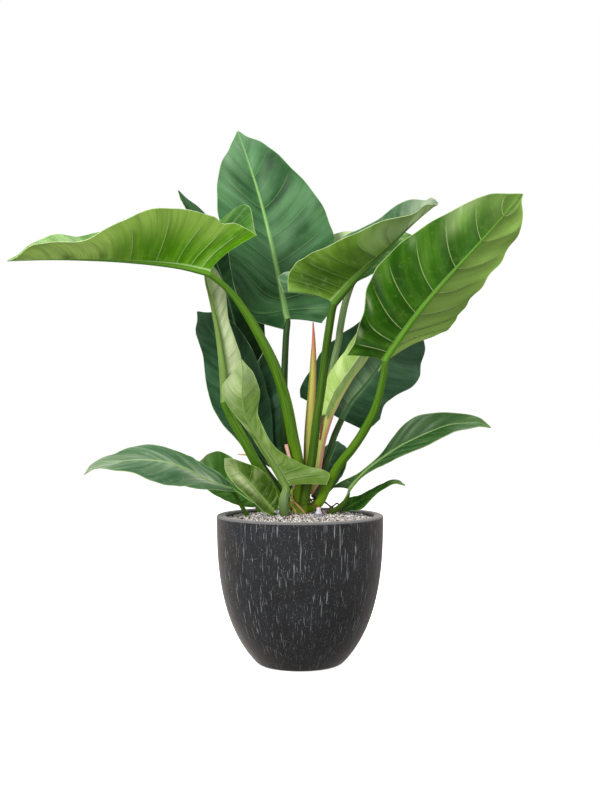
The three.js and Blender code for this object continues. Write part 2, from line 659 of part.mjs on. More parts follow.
// The short stem, ringed with the scars of shed leaves and rounded off at its crown
function stemGeometry(grow) {
  const bottom = POT_HEIGHT - STEM_ROOTED;
  const crownStart = STEM_TOP - STEM_CROWN_START;
  const rings = [];
  for (let i = 0; i <= STEM_STEPS; i += 1) {
    const z = bottom + (STEM_TOP - bottom) * (i / STEM_STEPS);
    const narrowing = Math.sqrt(1 - (Math.max(z - crownStart, 0) / STEM_CROWN_HEIGHT) ** 2);
    const end = i === 0 ? -grow : i === STEM_STEPS ? grow : 0;
    const ring = [];
    for (let j = 0; j < STEM_SIDES; j += 1) {
      const angle = (2 * Math.PI * j) / STEM_SIDES;
      const scar = STEM_SCAR * Math.sin((2 * Math.PI * z) / STEM_SCAR_PITCH + 2 * angle);
      const radius = (STEM_RADIUS + scar) * narrowing + grow;
      const x = STEM_CENTRE_X + radius * Math.cos(angle);
      const y = STEM_CENTRE_Y + radius * Math.sin(angle);
      ring.push(new THREE.Vector3(x, y, z + end));
    }
    rings.push(ring);
  }
  return ringSolid(rings);
}

// Water gauge: a tube down to the reservoir, a flange on the granules and a cone with a socket
function gaugeGeometry(grow) {
  const socket = POINTER_RADIUS + GAP;
  const profile = [
    [0, GAUGE_BOTTOM - grow],
    [GAUGE_TUBE_RADIUS + grow, GAUGE_BOTTOM - grow],
    [GAUGE_TUBE_RADIUS + grow, GAUGE_FLANGE_Z - grow],
    [GAUGE_FLANGE_RADIUS + grow, GAUGE_FLANGE_Z - grow],
    [GAUGE_FLANGE_RADIUS + grow, GAUGE_FLANGE_Z + GAUGE_FLANGE_THICKNESS],
    [GAUGE_SKIRT_RADIUS + grow, GAUGE_SKIRT_Z],
    [GAUGE_NECK_RADIUS + grow, GAUGE_NECK_Z],
    [GAUGE_NECK_RADIUS + grow, GAUGE_TOP_Z],
    [socket, GAUGE_TOP_Z],
    [socket, GAUGE_TOP_Z - GAUGE_SOCKET_DEPTH],
    [0, GAUGE_TOP_Z - GAUGE_SOCKET_DEPTH],
  ];
  return turnedGeometry(profile, GAUGE_SEGMENTS).translate(GAUGE_X, GAUGE_Y, 0);
}

function pointerGeometry() {
  const foot = GAUGE_TOP_Z - GAUGE_SOCKET_DEPTH + GAP;
  const top = GAUGE_TOP_Z + POINTER_STANDS_OUT;
  const profile = [
    [0, foot],
    [POINTER_RADIUS, foot],
    [POINTER_RADIUS, top - POINTER_BEVEL],
    [POINTER_RADIUS - POINTER_BEVEL, top],
    [0, top],
  ];
  return turnedGeometry(profile, GAUGE_SEGMENTS).translate(GAUGE_X, GAUGE_Y, 0);
}

// Assembly
const plant = new THREE.Group();

function place(name, geometry, colour, roughness) {
  geometry.computeVertexNormals();
  const material = new THREE.MeshStandardMaterial({ color: colour, roughness, metalness: 0 });
  const mesh = new THREE.Mesh(geometry, material);
  mesh.name = name;
  plant.add(mesh);
}

// Pieces are placed in order, and each later one is cut clear of the earlier ones it meets
const stemCutter = solidOf(stemGeometry(CUT_GAP));
const tubeCutters = [stemCutter];
place("pot", potGeometry(), POT_COLOUR, POT_ROUGHNESS);
place("stem", stemGeometry(0), STEM_COLOUR, STALK_ROUGHNESS);

for (const leaf of LEAVES) {
  leaf.ribCurve = curveThrough(leaf.rib);
  leaf.length = leaf.ribCurve.getLength();
  leaf.kneeRadius = leaf.stalkRadius.at(-1);
  const steps = leaf.stalk.length > SHORT_STALK_POINTS ? STALK_STEPS : SHORT_STALK_STEPS;
  const stalk = tubeGeometry(leaf.stalk, leaf.stalkRadius, STALK_SIDES, steps, 0);
  const blade = bladeGeometry(leaf, 0);
  const bladeCutter = solidOf(bladeGeometry(leaf, CUT_GAP));
  place(`${leaf.name}_blade`, blade, leaf.colour, BLADE_ROUGHNESS);
  const cutStalk = cut(stalk, [bladeCutter, solidOf(blade), ...tubeCutters]);
  place(`${leaf.name}_stalk`, cutStalk, leaf.colour, STALK_ROUGHNESS);
  tubeCutters.push(solidOf(tubeGeometry(leaf.stalk, leaf.stalkRadius, STALK_SIDES, steps, CUT_GAP)));
}

function placeTube({ name, colour, line, radius }, sides, steps, roughness) {
  place(name, cut(tubeGeometry(line, radius, sides, steps, 0), tubeCutters), colour, roughness);
  tubeCutters.push(solidOf(tubeGeometry(line, radius, sides, steps, CUT_GAP)));
}

for (const sheath of SHEATHS) placeTube(sheath, STALK_SIDES, STALK_STEPS, STALK_ROUGHNESS);
for (const root of ROOTS) placeTube(root, ROOT_SIDES, ROOT_STEPS, ROOT_ROUGHNESS);

place("gauge", gaugeGeometry(0), GAUGE_COLOUR, GAUGE_ROUGHNESS);
place("gauge_pointer", pointerGeometry(), POINTER_COLOUR, GAUGE_ROUGHNESS);

const gaugeCutter = solidOf(gaugeGeometry(CUT_GAP));
const granules = cut(granulesGeometry(), [gaugeCutter, ...tubeCutters]);
place("granules", granules, GRANULES_COLOUR, GRANULES_ROUGHNESS);

export default plant;
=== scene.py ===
# %% [markdown]
# # A potted philodendron
#
# Eighteen large leaves stand on fleshy stalks round a short stem, in a dark planter filled with
# mineral granules. This lesson dresses the plain solids of that plant: each solid is loaded at
# its real place and size, and a finer piece with a living surface takes its place.
#
# The first cell loads the solids. Everything is in metres, with Z up and the plant's front
# towards -Y. The box of the solids is kept, so that the finished plant can be compared with it.

# %% Load the solids
import math

import bpy
import numpy as np
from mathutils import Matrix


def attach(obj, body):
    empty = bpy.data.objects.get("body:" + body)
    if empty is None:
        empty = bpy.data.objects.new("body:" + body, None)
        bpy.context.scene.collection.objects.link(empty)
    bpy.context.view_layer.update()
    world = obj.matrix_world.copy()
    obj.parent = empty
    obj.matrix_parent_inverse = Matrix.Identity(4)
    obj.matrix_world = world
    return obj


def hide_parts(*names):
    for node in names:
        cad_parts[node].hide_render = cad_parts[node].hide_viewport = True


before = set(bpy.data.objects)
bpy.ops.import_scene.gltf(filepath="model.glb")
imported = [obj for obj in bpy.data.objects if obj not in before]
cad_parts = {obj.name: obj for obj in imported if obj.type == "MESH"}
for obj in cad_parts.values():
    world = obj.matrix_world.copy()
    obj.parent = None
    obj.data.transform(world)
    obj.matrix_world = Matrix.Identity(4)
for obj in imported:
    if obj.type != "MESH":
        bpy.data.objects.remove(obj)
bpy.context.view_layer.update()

# %% [markdown]
# ## Camera
#
# The plant is seen from a low stand two metres away, level with the middle of the stalks. A
# lens of 53.37 mm, with 36 mm for the long side of the picture, gives the view of a portrait.

# %% Camera
CAMERA_DISTANCE, CAMERA_HEIGHT, LENS = 2.0, 0.443, 53.37
bpy.ops.object.select_all(action="DESELECT")
bpy.ops.object.camera_add(location=(0, -CAMERA_DISTANCE, CAMERA_HEIGHT), rotation=(math.radians(90), 0, 0))
camera = bpy.context.object
camera.data.lens = LENS
bpy.context.scene.camera = camera
print("camera at", tuple(round(value, 3) for value in camera.location))

# %% [markdown]
# ## Helpers for the shapes
#
# A leaf and a stalk are both a straight grid that is led along a curved line. A line goes
# smoothly through a few points, and is measured by its length, so that a share from 0 to 1
# means the same step everywhere. Values along a leaf, such as its width, are read between the
# stations where they are known. The measures are in millimetres, and MM makes them metres.

# %% Lines and values between stations
MM = 0.001


def between(stations, values, u):
    """A smooth curve through values at the stations, read at u."""
    stations, values, u = (np.asarray(item, float) for item in (stations, values, u))
    last = len(stations) - 1
    i = np.clip(np.searchsorted(stations, u, side="right") - 1, 0, last - 1)
    before = np.maximum(np.arange(last + 1) - 1, 0)
    after = np.minimum(np.arange(last + 1) + 1, last)
    slope = (values[after] - values[before]) / (stations[after] - stations[before])
    step = stations[i + 1] - stations[i]
    t = (u - stations[i]) / step
    rise = t * t * (3 - 2 * t)
    bend = t * (1 - t) ** 2 * slope[i] + t * t * (t - 1) * slope[i + 1]
    return values[i] * (1 - rise) + values[i + 1] * rise + step * bend


def ramp(low, high, x):
    """0 below low, 1 above high, and a soft step between."""
    t = np.clip((np.asarray(x, float) - low) / (high - low), 0, 1)
    return t * t * (3 - 2 * t)


def smooth_points(points, per=40):
    """Many points on the curve that goes smoothly through a few."""
    p = np.asarray(points, float)
    ends = np.vstack([2 * p[0] - p[1], p, 2 * p[-1] - p[-2]])
    share = np.linspace(0, 1, per, endpoint=False)[:, None]
    pieces = []
    for p0, p1, p2, p3 in zip(ends, ends[1:], ends[2:], ends[3:]):
        steps = (p1 - p0, p2 - p1, p3 - p2)
        d0, d1, d2 = (max(math.sqrt(np.linalg.norm(step)), 1e-4) for step in steps)
        go = ((p1 - p0) / d0 - (p2 - p0) / (d0 + d1) + (p2 - p1) / d1) * d1
        come = ((p2 - p1) / d1 - (p3 - p1) / (d1 + d2) + (p3 - p2) / d2) * d1
        a, b = -3 * p1 + 3 * p2 - 2 * go - come, 2 * p1 - 2 * p2 + go + come
        pieces.append(p1 + go * share + a * share**2 + b * share**3)
    return np.vstack(pieces + [p[-1:]])


class Line:
    """A smooth line with its length, that gives places and directions at shares of it."""

    def __init__(self, points):
        self.points = smooth_points(points)
        steps = np.linalg.norm(np.diff(self.points, axis=0), axis=1)
        self.run = np.concatenate([[0], np.cumsum(steps)])
        self.length = self.run[-1]
        self.ways = np.gradient(self.points, self.run, axis=0)

    def at(self, share):
        share = np.asarray(share, float)
        run = np.clip(share, 0, 1) * self.length
        place = np.stack([np.interp(run, self.run, self.points[:, k]) for k in range(3)], -1)
        way = np.stack([np.interp(run, self.run, self.ways[:, k]) for k in range(3)], -1)
        way /= np.linalg.norm(way, axis=-1, keepdims=True)
        beyond = (share - np.clip(share, 0, 1)) * self.length
        return place + way * beyond[..., None], way


test_line = Line([(0, 0, 0), (0, 0, 100)])
print("a straight line of 100 mm measures", round(float(test_line.length), 3))

# %% [markdown]
# ## Helpers for the meshes
#
# Nearly every piece starts as one of Blender's primitives. A grid is added, and its points are
# moved row by row to where the plant has them, which is quicker and truer than pushing them by
# hand. Values that a finish needs later, such as how far a point is from a vein, are stored on
# the points as attributes.

# %% Grids, attributes and tubes
def deselect():
    if bpy.context.object and bpy.context.object.mode != "OBJECT":
        bpy.ops.object.mode_set(mode="OBJECT")
    bpy.ops.object.select_all(action="DESELECT")


def pick(piece):
    deselect()
    piece.select_set(True)
    bpy.context.view_layer.objects.active = piece


def new_piece(name, points, edges, faces):
    """An object with a mesh of the given points."""
    mesh = bpy.data.meshes.new(name)
    mesh.from_pydata(points, edges, faces)
    piece = bpy.data.objects.new(name, mesh)
    bpy.context.collection.objects.link(piece)
    return piece


def points_of(piece):
    flat = np.empty(len(piece.data.vertices) * 3)
    piece.data.vertices.foreach_get("co", flat)
    return flat.reshape(-1, 3)


def grid(name, across, along):
    """A flat grid. Returns it, its points' order by rows, and their x and y from 0 to 1."""
    deselect()
    bpy.ops.mesh.primitive_grid_add(x_subdivisions=across, y_subdivisions=along, size=2)
    piece = bpy.context.object
    piece.name = piece.data.name = name
    x, y = (points_of(piece)[:, :2].T + 1) / 2
    order = np.lexsort((np.round(x, 5), np.round(y, 5)))
    rows = (along + 1, across + 1)
    return piece, order, x[order].reshape(rows), y[order].reshape(rows)


def set_points(piece, order, points):
    """Puts the grid's points, given by rows in millimetres, in place."""
    flat = np.empty((len(order), 3))
    flat[order] = points.reshape(-1, 3) * MM
    piece.data.vertices.foreach_set("co", flat.ravel())
    piece.data.update()


def set_attribute(piece, name, order, *values):
    """Stores three numbers on each point, for a finish to read."""
    flat = np.empty((len(order), 3))
    flat[order] = np.stack([np.broadcast_to(value, values[0].shape).ravel() for value in values], -1)
    attribute = piece.data.attributes.new(name, "FLOAT_VECTOR", "POINT")
    attribute.data.foreach_set("vector", flat.ravel())


def smooth(piece, degrees):
    pick(piece)
    bpy.ops.object.shade_smooth_by_angle(angle=math.radians(degrees))


def cross_frames(line, shares):
    """Places along the line, with two directions across it that don't twist."""
    place, way = line.at(shares)
    side = np.empty_like(way)
    aim = np.array([1.0, 0.0, 0.0])
    for i, step in enumerate(way):
        aim = aim - np.dot(aim, step) * step
        aim /= np.linalg.norm(aim)
        side[i] = aim
    return place, side, np.cross(way, side)


def tube(name, line, radius, sides, steps, shape=None, start=0.0, end=1.0):
    """A closed round piece along a line, from the share start to end. radius is a function of
    the share, in millimetres, and shape(angle, share) swells the section."""
    piece, order, x, _ = grid(name, sides, steps)
    shares = np.linspace(start, end, steps + 1)
    place, side, front = cross_frames(line, shares)
    angle = 2 * np.pi * x
    cos, sin = np.cos(angle), np.sin(angle)
    along = np.broadcast_to(shares[:, None], x.shape)
    size = radius(shares)[:, None] * (shape(angle, along) if shape else np.ones_like(x))
    ring = cos[..., None] * side[:, None] + sin[..., None] * front[:, None]
    set_points(piece, order, place[:, None] + size[..., None] * ring)
    set_attribute(piece, "skin", order, cos, sin, along * line.length * MM)
    set_attribute(piece, "share", order, along, size, along)
    pick(piece)
    bpy.ops.object.mode_set(mode="EDIT")
    bpy.ops.mesh.select_all(action="SELECT")
    bpy.ops.mesh.remove_doubles(threshold=1e-6)
    bpy.ops.mesh.fill_holes(sides=0)
    bpy.ops.mesh.select_all(action="SELECT")
    bpy.ops.mesh.normals_make_consistent(inside=False)
    bpy.ops.object.mode_set(mode="OBJECT")
    smooth(piece, 60)
    return piece


def tapered(radii, end=1.0):
    """The radius at a share, from radii that are evenly spaced up to the share end."""
    return lambda share: np.interp(share / end, np.linspace(0, 1, len(radii)), radii)


print("helpers for grids and tubes are ready")

# %% [markdown]
# ## Helpers for the finishes
#
# A finish is a small tree of shader nodes. These helpers add a node with its values and links
# in one call, turn a screen colour into the linear one that the shader wants, and lay coats of
# colour over each other, each where its share says.

# %% Nodes
def tone(red, green, blue):
    """A colour given as 0 to 255 on screen, as the linear colour of a shader."""
    parts = [value / 255 for value in (red, green, blue)]
    return (*(v / 12.92 if v <= 0.04045 else ((v + 0.055) / 1.055) ** 2.4 for v in parts), 1)


def put(tree, kind, sockets=None, **settings):
    node = tree.nodes.new("ShaderNode" + kind)
    for key, value in settings.items():
        setattr(node, key, value)
    for key, value in (sockets or {}).items():
        if isinstance(value, bpy.types.NodeSocket):
            tree.links.new(value, node.inputs[key])
        else:
            node.inputs[key].default_value = value
    return node


def calc(tree, operation, *values):
    return put(tree, "Math", dict(enumerate(values)), operation=operation).outputs[0]


def soft_step(tree, value, low, high, start=0.0, end=1.0):
    """start below low, end above high and a soft step between."""
    sockets = {"Value": value, "From Min": low, "From Max": high, "To Min": start, "To Max": end}
    return put(tree, "MapRange", sockets, interpolation_type="SMOOTHSTEP").outputs["Result"]


def coats(tree, colour, *layers):
    """Lays coats over a colour. Each coat is given as its share and its screen colour."""
    for share, over in layers:
        sockets = {"Factor": share, 6: colour, 7: tone(*over)}
        colour = put(tree, "Mix", sockets, data_type="RGBA").outputs[2]
    return colour


def noise(tree, place, scale, detail=2.0, rough=0.5, stretch=(1, 1, 1), shift=(0, 0, 0)):
    moved = put(tree, "Mapping", {"Vector": place, "Location": shift, "Scale": stretch})
    sockets = {"Vector": moved.outputs[0], "Scale": scale, "Detail": detail, "Roughness": rough}
    return put(tree, "TexNoise", sockets).outputs["Fac"]


def attribute(tree, name):
    return put(tree, "Attribute", attribute_name=name).outputs["Vector"]


def split(tree, vector):
    return put(tree, "SeparateXYZ", {0: vector}).outputs


def new_finish(name):
    """An empty material: its tree, and the shader that everything goes into."""
    material = bpy.data.materials.new(name)
    material.use_nodes = True
    return material, material.node_tree, material.node_tree.nodes["Principled BSDF"]


def object_place(tree):
    return put(tree, "TexCoord").outputs["Object"]


def finish_with(tree, shader, colour, rough, bump, depth):
    """Links colour, roughness and relief to the shader. depth is the relief's height in metres."""
    tree.links.new(colour, shader.inputs["Base Color"])
    tree.links.new(rough, shader.inputs["Roughness"])
    relief = put(tree, "Bump", {"Height": bump, "Distance": depth, "Strength": 1.0})
    tree.links.new(relief.outputs[0], shader.inputs["Normal"])


print("mid grey on screen is", round(tone(128, 128, 128)[0], 3), "in a shader")

# %% [markdown]
# ## Finish of the leaves
#
# A leaf of this plant is waxy and has one broad rib with eight or nine side veins on each
# half. Between the veins run fine parallel lines, and the tissue swells a little, so light
# and dark bands cross the blade; a dark band just before each vein is painted shade, the
# shadow of the raised vein. The points carry what is needed: lines holds the count of
# the side veins, the distance from the rib in rib widths and the distance from the margin in
# millimetres, spot holds the shares along and across and the space between two veins, and
# look holds how pale and how dark the place is, partly the leaf's own tone and partly painted
# light and painted shade, and how strong a painted highlight lies there.
#
# The veins could be modelled as threads, but they are only a millimetre wide and nearly
# flush. So the broad swelling is in the mesh, and the fine lines are in the finish.

# %% Leaf finish
# The whitish colour of painted highlights on the leaves.
PAINTED_GLINT = (206, 228, 168)


def leaf_finish(name, base, deep, light, vein, rough, relief, veins, gloss=0.22, stripes=0.4):
    """One side of a leaf. The colours are screen colours, relief is the height of the veins in
    metres, veins is how clear they are and stripes how clear the bands between them are."""
    material, tree, shader = new_finish(name)
    count, from_rib, from_margin = split(tree, attribute(tree, "lines"))
    along, across, space = split(tree, attribute(tree, "spot"))
    pale, dark, shine = split(tree, attribute(tree, "look"))
    place = object_place(tree)
    x_place = split(tree, place)[0]
    turn = calc(tree, "FRACT", count)
    nearest = calc(tree, "SUBTRACT", calc(tree, "FRACT", calc(tree, "ADD", count, 0.5)), 0.5)
    to_vein = calc(tree, "MULTIPLY", calc(tree, "ABSOLUTE", nearest), space)
    inner = soft_step(tree, calc(tree, "ABSOLUTE", across), 0.6, 0.95, 1, 0)
    on_vein = calc(tree, "MULTIPLY", soft_step(tree, to_vein, 0.2, 0.95, 1, 0), inner)
    # painted shade: a dark band on one side of each side vein, the shadow of the raised vein
    painted_vein_shadow = calc(tree, "MULTIPLY", soft_step(tree, turn, 0.7, 0.97), inner)
    painted_vein_shadow = calc(tree, "MULTIPLY", painted_vein_shadow, soft_step(tree, pale, 0.0, 0.9, 0.45, 0.2))
    weave = put(tree, "CombineXYZ", {0: count, 1: across, 2: x_place}).outputs[0]
    threads = noise(tree, weave, 1.0, 2.0, 0.7, stretch=(24, 0.6, 3))
    ribbons = noise(tree, weave, 1.0, 2.0, 0.6, stretch=(4.6, 0.8, 2), shift=(2, 5, 1))
    patches = noise(tree, weave, 1.0, 2.0, 0.55, stretch=(1.1, 0.9, 3), shift=(4, 1, 3))
    mottle = noise(tree, place, 90.0, 3.0, 0.65)
    cells = noise(tree, place, 900.0, 1.0, 0.5)
    colour = coats(
        tree, tone(*base),
        (soft_step(tree, patches, 0.34, 0.6, 0.55, 0.0), deep),
        (soft_step(tree, patches, 0.5, 0.72, 0.0, 0.3), light),
        # pale and dark from the look attribute: the leaf's own tone, and in the soft spots partly painted
        # light and painted shade
        (pale, light),
        (dark, deep),
        (soft_step(tree, ribbons, 0.42, 0.68, 0.0, stripes), deep),
        (soft_step(tree, ribbons, 0.5, 0.32, 0.0, stripes * 0.4), light),
        (soft_step(tree, threads, 0.42, 0.7, 0.0, stripes), deep),
        (soft_step(tree, mottle, 0.5, 0.75, 0.0, 0.12), light),
        (painted_vein_shadow, deep),
        (soft_step(tree, along, 0.66, 1.0, 0.0, 0.35), light),
        (calc(tree, "MULTIPLY", on_vein, veins), vein),
        (soft_step(tree, from_rib, 0.9, 1.7, 0.7, 0.0), vein),
        (soft_step(tree, from_margin, 0.2, 1.1, 0.7, 0.0), vein),
        # painted highlight: a whitish glint where the look attribute asks for one
        (calc(tree, "MULTIPLY", shine, soft_step(tree, ribbons, 0.62, 0.36, 0.55, 1.0)), PAINTED_GLINT),
    )
    sheen = soft_step(tree, mottle, 0.3, 0.75, rough - 0.05, rough + 0.08)
    raised = calc(tree, "MULTIPLY", on_vein, 1.0 if relief > 0 else -1.0)
    height = calc(tree, "MULTIPLY_ADD", threads, 0.3, raised)
    height = calc(tree, "MULTIPLY_ADD", cells, 0.05, height)
    finish_with(tree, shader, colour, sheen, height, abs(relief))
    shader.inputs["Specular IOR Level"].default_value = gloss
    return material


def plain_edge(name, colour):
    """The cut edge of a leaf, pale and a little uneven."""
    material, tree, shader = new_finish(name)
    uneven = noise(tree, object_place(tree), 60.0, 2.0)
    darker = [value * 0.82 for value in colour]
    shade = coats(tree, tone(*colour), (soft_step(tree, uneven, 0.35, 0.7), darker))
    finish_with(tree, shader, shade, soft_step(tree, uneven, 0.3, 0.7, 0.45, 0.6), uneven, 0.0001)
    return material


EDGE = plain_edge("leaf_edge", (176, 200, 136))
print("the edge of a leaf is ready:", EDGE.name)

# %% [markdown]
# ## Tones of the leaves
#
# Upper sides are deep and bluish green on old leaves and fresh on young ones. Under sides are
# lighter; the sunny under side is painted bright yellow for the light that shines through it. Each
# tone has its base, deep, light and vein colour, then its roughness, relief, clearness of veins,
# gloss and stripes. The relief of an upper side is below 0, because there the veins lie in grooves.

# %% Tones of the leaves
UPPER_TONES = {
    "blue": ((66, 114, 66), (14, 54, 18), (112, 156, 108), (132, 176, 102), 0.42, -0.0004, 0.42, 0.22, 0.2),
    "fresh": ((84, 138, 44), (34, 84, 12), (150, 184, 112), (180, 204, 140), 0.42, -0.0004, 0.3),
    "dark": ((50, 90, 58), (22, 52, 26), (84, 124, 86), (78, 118, 78), 0.5, -0.0004, 0.28, 0.15, 0.3),
    "deep": ((24, 56, 24), (10, 34, 10), (72, 112, 70), (44, 78, 42), 0.6, -0.0004, 0.2, 0.04, 0.25),
    "mid": ((50, 94, 34), (26, 66, 12), (124, 152, 104), (132, 164, 98), 0.42, -0.0004, 0.25, 0.22, 0.3),
    "grey": ((76, 116, 70), (36, 82, 42), (184, 198, 170), (150, 178, 122), 0.42, -0.0004, 0.25, 0.22, 0.26),
    "olive": ((84, 120, 22), (44, 76, 0), (208, 222, 164), (150, 180, 96), 0.4, -0.0004, 0.3, 0.2, 0.15),
    "leafy": ((46, 104, 8), (22, 66, 0), (146, 178, 112), (70, 120, 36), 0.56, -0.0004, 0.25, 0.08, 0.25),
    "new": ((192, 218, 130), (160, 196, 92), (220, 236, 172), (156, 194, 96), 0.42, -0.0003, 0.3),
}
UNDER_TONES = {
    "new": ((188, 216, 132), (158, 196, 96), (216, 234, 170), (160, 196, 104), 0.46, 0.0003, 0.3),
    "bright": ((54, 110, 0), (16, 58, 0), (156, 192, 94), (204, 226, 150), 0.4, 0.0006, 0.6, 0.16, 0.12),
    # sunny: painted light, a bright yellow for the light that shines through the leaf
    "sunny": ((108, 174, 0), (60, 120, 0), (216, 255, 126), (200, 226, 156), 0.4, 0.0006, 0.55, 0.1, 0.26),
    "olive": ((134, 180, 56), (46, 84, 2), (206, 234, 158), (172, 206, 118), 0.46, 0.0005, 0.4, 0.22, 0.1),
    "pale": ((112, 144, 54), (74, 108, 26), (204, 216, 168), (172, 198, 130), 0.46, 0.0004, 0.2, 0.22, 0.22),
    "mid": ((104, 150, 68), (72, 120, 42), (150, 184, 118), (156, 190, 116), 0.5, 0.0005, 0.45),
}
UPPER = {key: leaf_finish(f"leaf_{key}_upper", *tones) for key, tones in UPPER_TONES.items()}
UNDER = {key: leaf_finish(f"leaf_{key}_under", *tones) for key, tones in UNDER_TONES.items()}
print("leaf finishes:", len(UPPER) + len(UNDER))

# %% [markdown]
# ## Finish of the stalks
#
# The stalks are smooth and fleshy, with faint streaks that run along them and a few brown
# specks. A dark line marks the joint below each leaf. The ribs, the stem and the roots get the
# same finish in their own tones. skin holds a point on a circle and the length along, so that
# streaks run along the stalk, and share holds the share of the length.

# %% Stalk finish
SPECK, JOINT = (96, 84, 40), (62, 58, 30)


def stalk_finish(name, base, deep, light, rough=0.42, speck=SPECK, blush=None, foot=None):
    """The colours are screen colours. blush is on the right side, foot at the lower end."""
    material, tree, shader = new_finish(name)
    skin = attribute(tree, "skin")
    along = split(tree, attribute(tree, "share"))[0]
    streaks = noise(tree, skin, 5.0, 3.0, 0.6, stretch=(1, 1, 2.5))
    fibres = noise(tree, skin, 7.0, 2.0, 0.6, stretch=(1, 1, 1.5))
    specks = noise(tree, skin, 9.0, 2.0, 0.6, stretch=(1, 1, 9))
    colour = coats(tree, tone(*deep), (soft_step(tree, streaks, 0.36, 0.66), base),
                   (soft_step(tree, fibres, 0.5, 0.75, 0.0, 0.5), light))
    if blush:
        colour = coats(tree, colour, (soft_step(tree, split(tree, skin)[0], 0.1, 0.5), blush))
    if foot:
        colour = coats(tree, colour, (soft_step(tree, along, 0.02, 0.2, 0.85, 0.0), foot))
    colour = coats(tree, colour, (soft_step(tree, specks, 0.6, 0.7, 0.0, 0.6), speck),
                   (soft_step(tree, along, 0.982, 0.99, 0.0, 0.75), JOINT))
    gloss = soft_step(tree, fibres, 0.3, 0.7, rough - 0.04, rough + 0.08)
    finish_with(tree, shader, colour, gloss, fibres, 0.0002)
    shader.inputs["Specular IOR Level"].default_value = 0.2
    return material


STALK = {
    "bright": stalk_finish("stalk_bright", (82, 126, 14), (50, 92, 0), (124, 166, 50), foot=(110, 150, 20)),
    "mid": stalk_finish("stalk_mid", (66, 106, 8), (42, 78, 0), (104, 140, 48), foot=(56, 82, 2)),
    "dark": stalk_finish("stalk_dark", (56, 88, 38), (36, 64, 22), (86, 116, 64)),
    "pale": stalk_finish("stalk_pale", (140, 168, 110), (102, 132, 72), (182, 202, 152), foot=(56, 76, 22)),
    "new": stalk_finish("stalk_new", (196, 200, 116), (168, 182, 84), (222, 214, 150), blush=(232, 164, 138)),
}
RIB = {
    "bright": stalk_finish("rib_bright", (96, 150, 30), (74, 126, 14), (126, 172, 66)),
    "blue": stalk_finish("rib_blue", (156, 198, 118), (132, 180, 94), (184, 214, 148)),
    "olive": stalk_finish("rib_olive", (84, 128, 38), (66, 106, 24), (112, 152, 68)),
    "dark": stalk_finish("rib_dark", (72, 112, 66), (54, 90, 48), (96, 134, 88)),
    "pale": stalk_finish("rib_pale", (122, 152, 74), (98, 130, 50), (160, 184, 118)),
    "new": stalk_finish("rib_new", (196, 218, 126), (168, 198, 94), (216, 230, 158), blush=(220, 196, 138)),
    "mid": stalk_finish("rib_mid", (136, 166, 92), (104, 142, 62), (170, 192, 130)),
}
print("stalk and rib finishes:", len(STALK) + len(RIB))

# %% [markdown]
# ## The leaves' measures
#
# Each leaf is given by its stalk from foot to knee, its rib from knee to tip, the way that its
# upper side faces at both ends, and for its left and its right half the reach from rib to
# margin at eight stations, the angles of its fold, and the height and number of its waves.
# lobe says how far the blade reaches back past the knee, and radius how thick the stalk is.
# These are the same measures as those of the solids, so that each dressed leaf lies in its
# solid's place.

# %% Measures
TIP_REACH = 1.2


def grow(name, lobe, radius, stalk, rib, face, left, right):
    """The measures of one leaf. A half is its reach, its fold and its wave."""
    leaf = {"name": name, "lobe": lobe, "radius": radius, "stalk": stalk, "rib": rib, "face": face}
    for side, (reach, fold, wave) in (("left", left), ("right", right)):
        leaf[side] = {"reach": reach + [TIP_REACH], "fold": fold, "wave": wave}
    return leaf


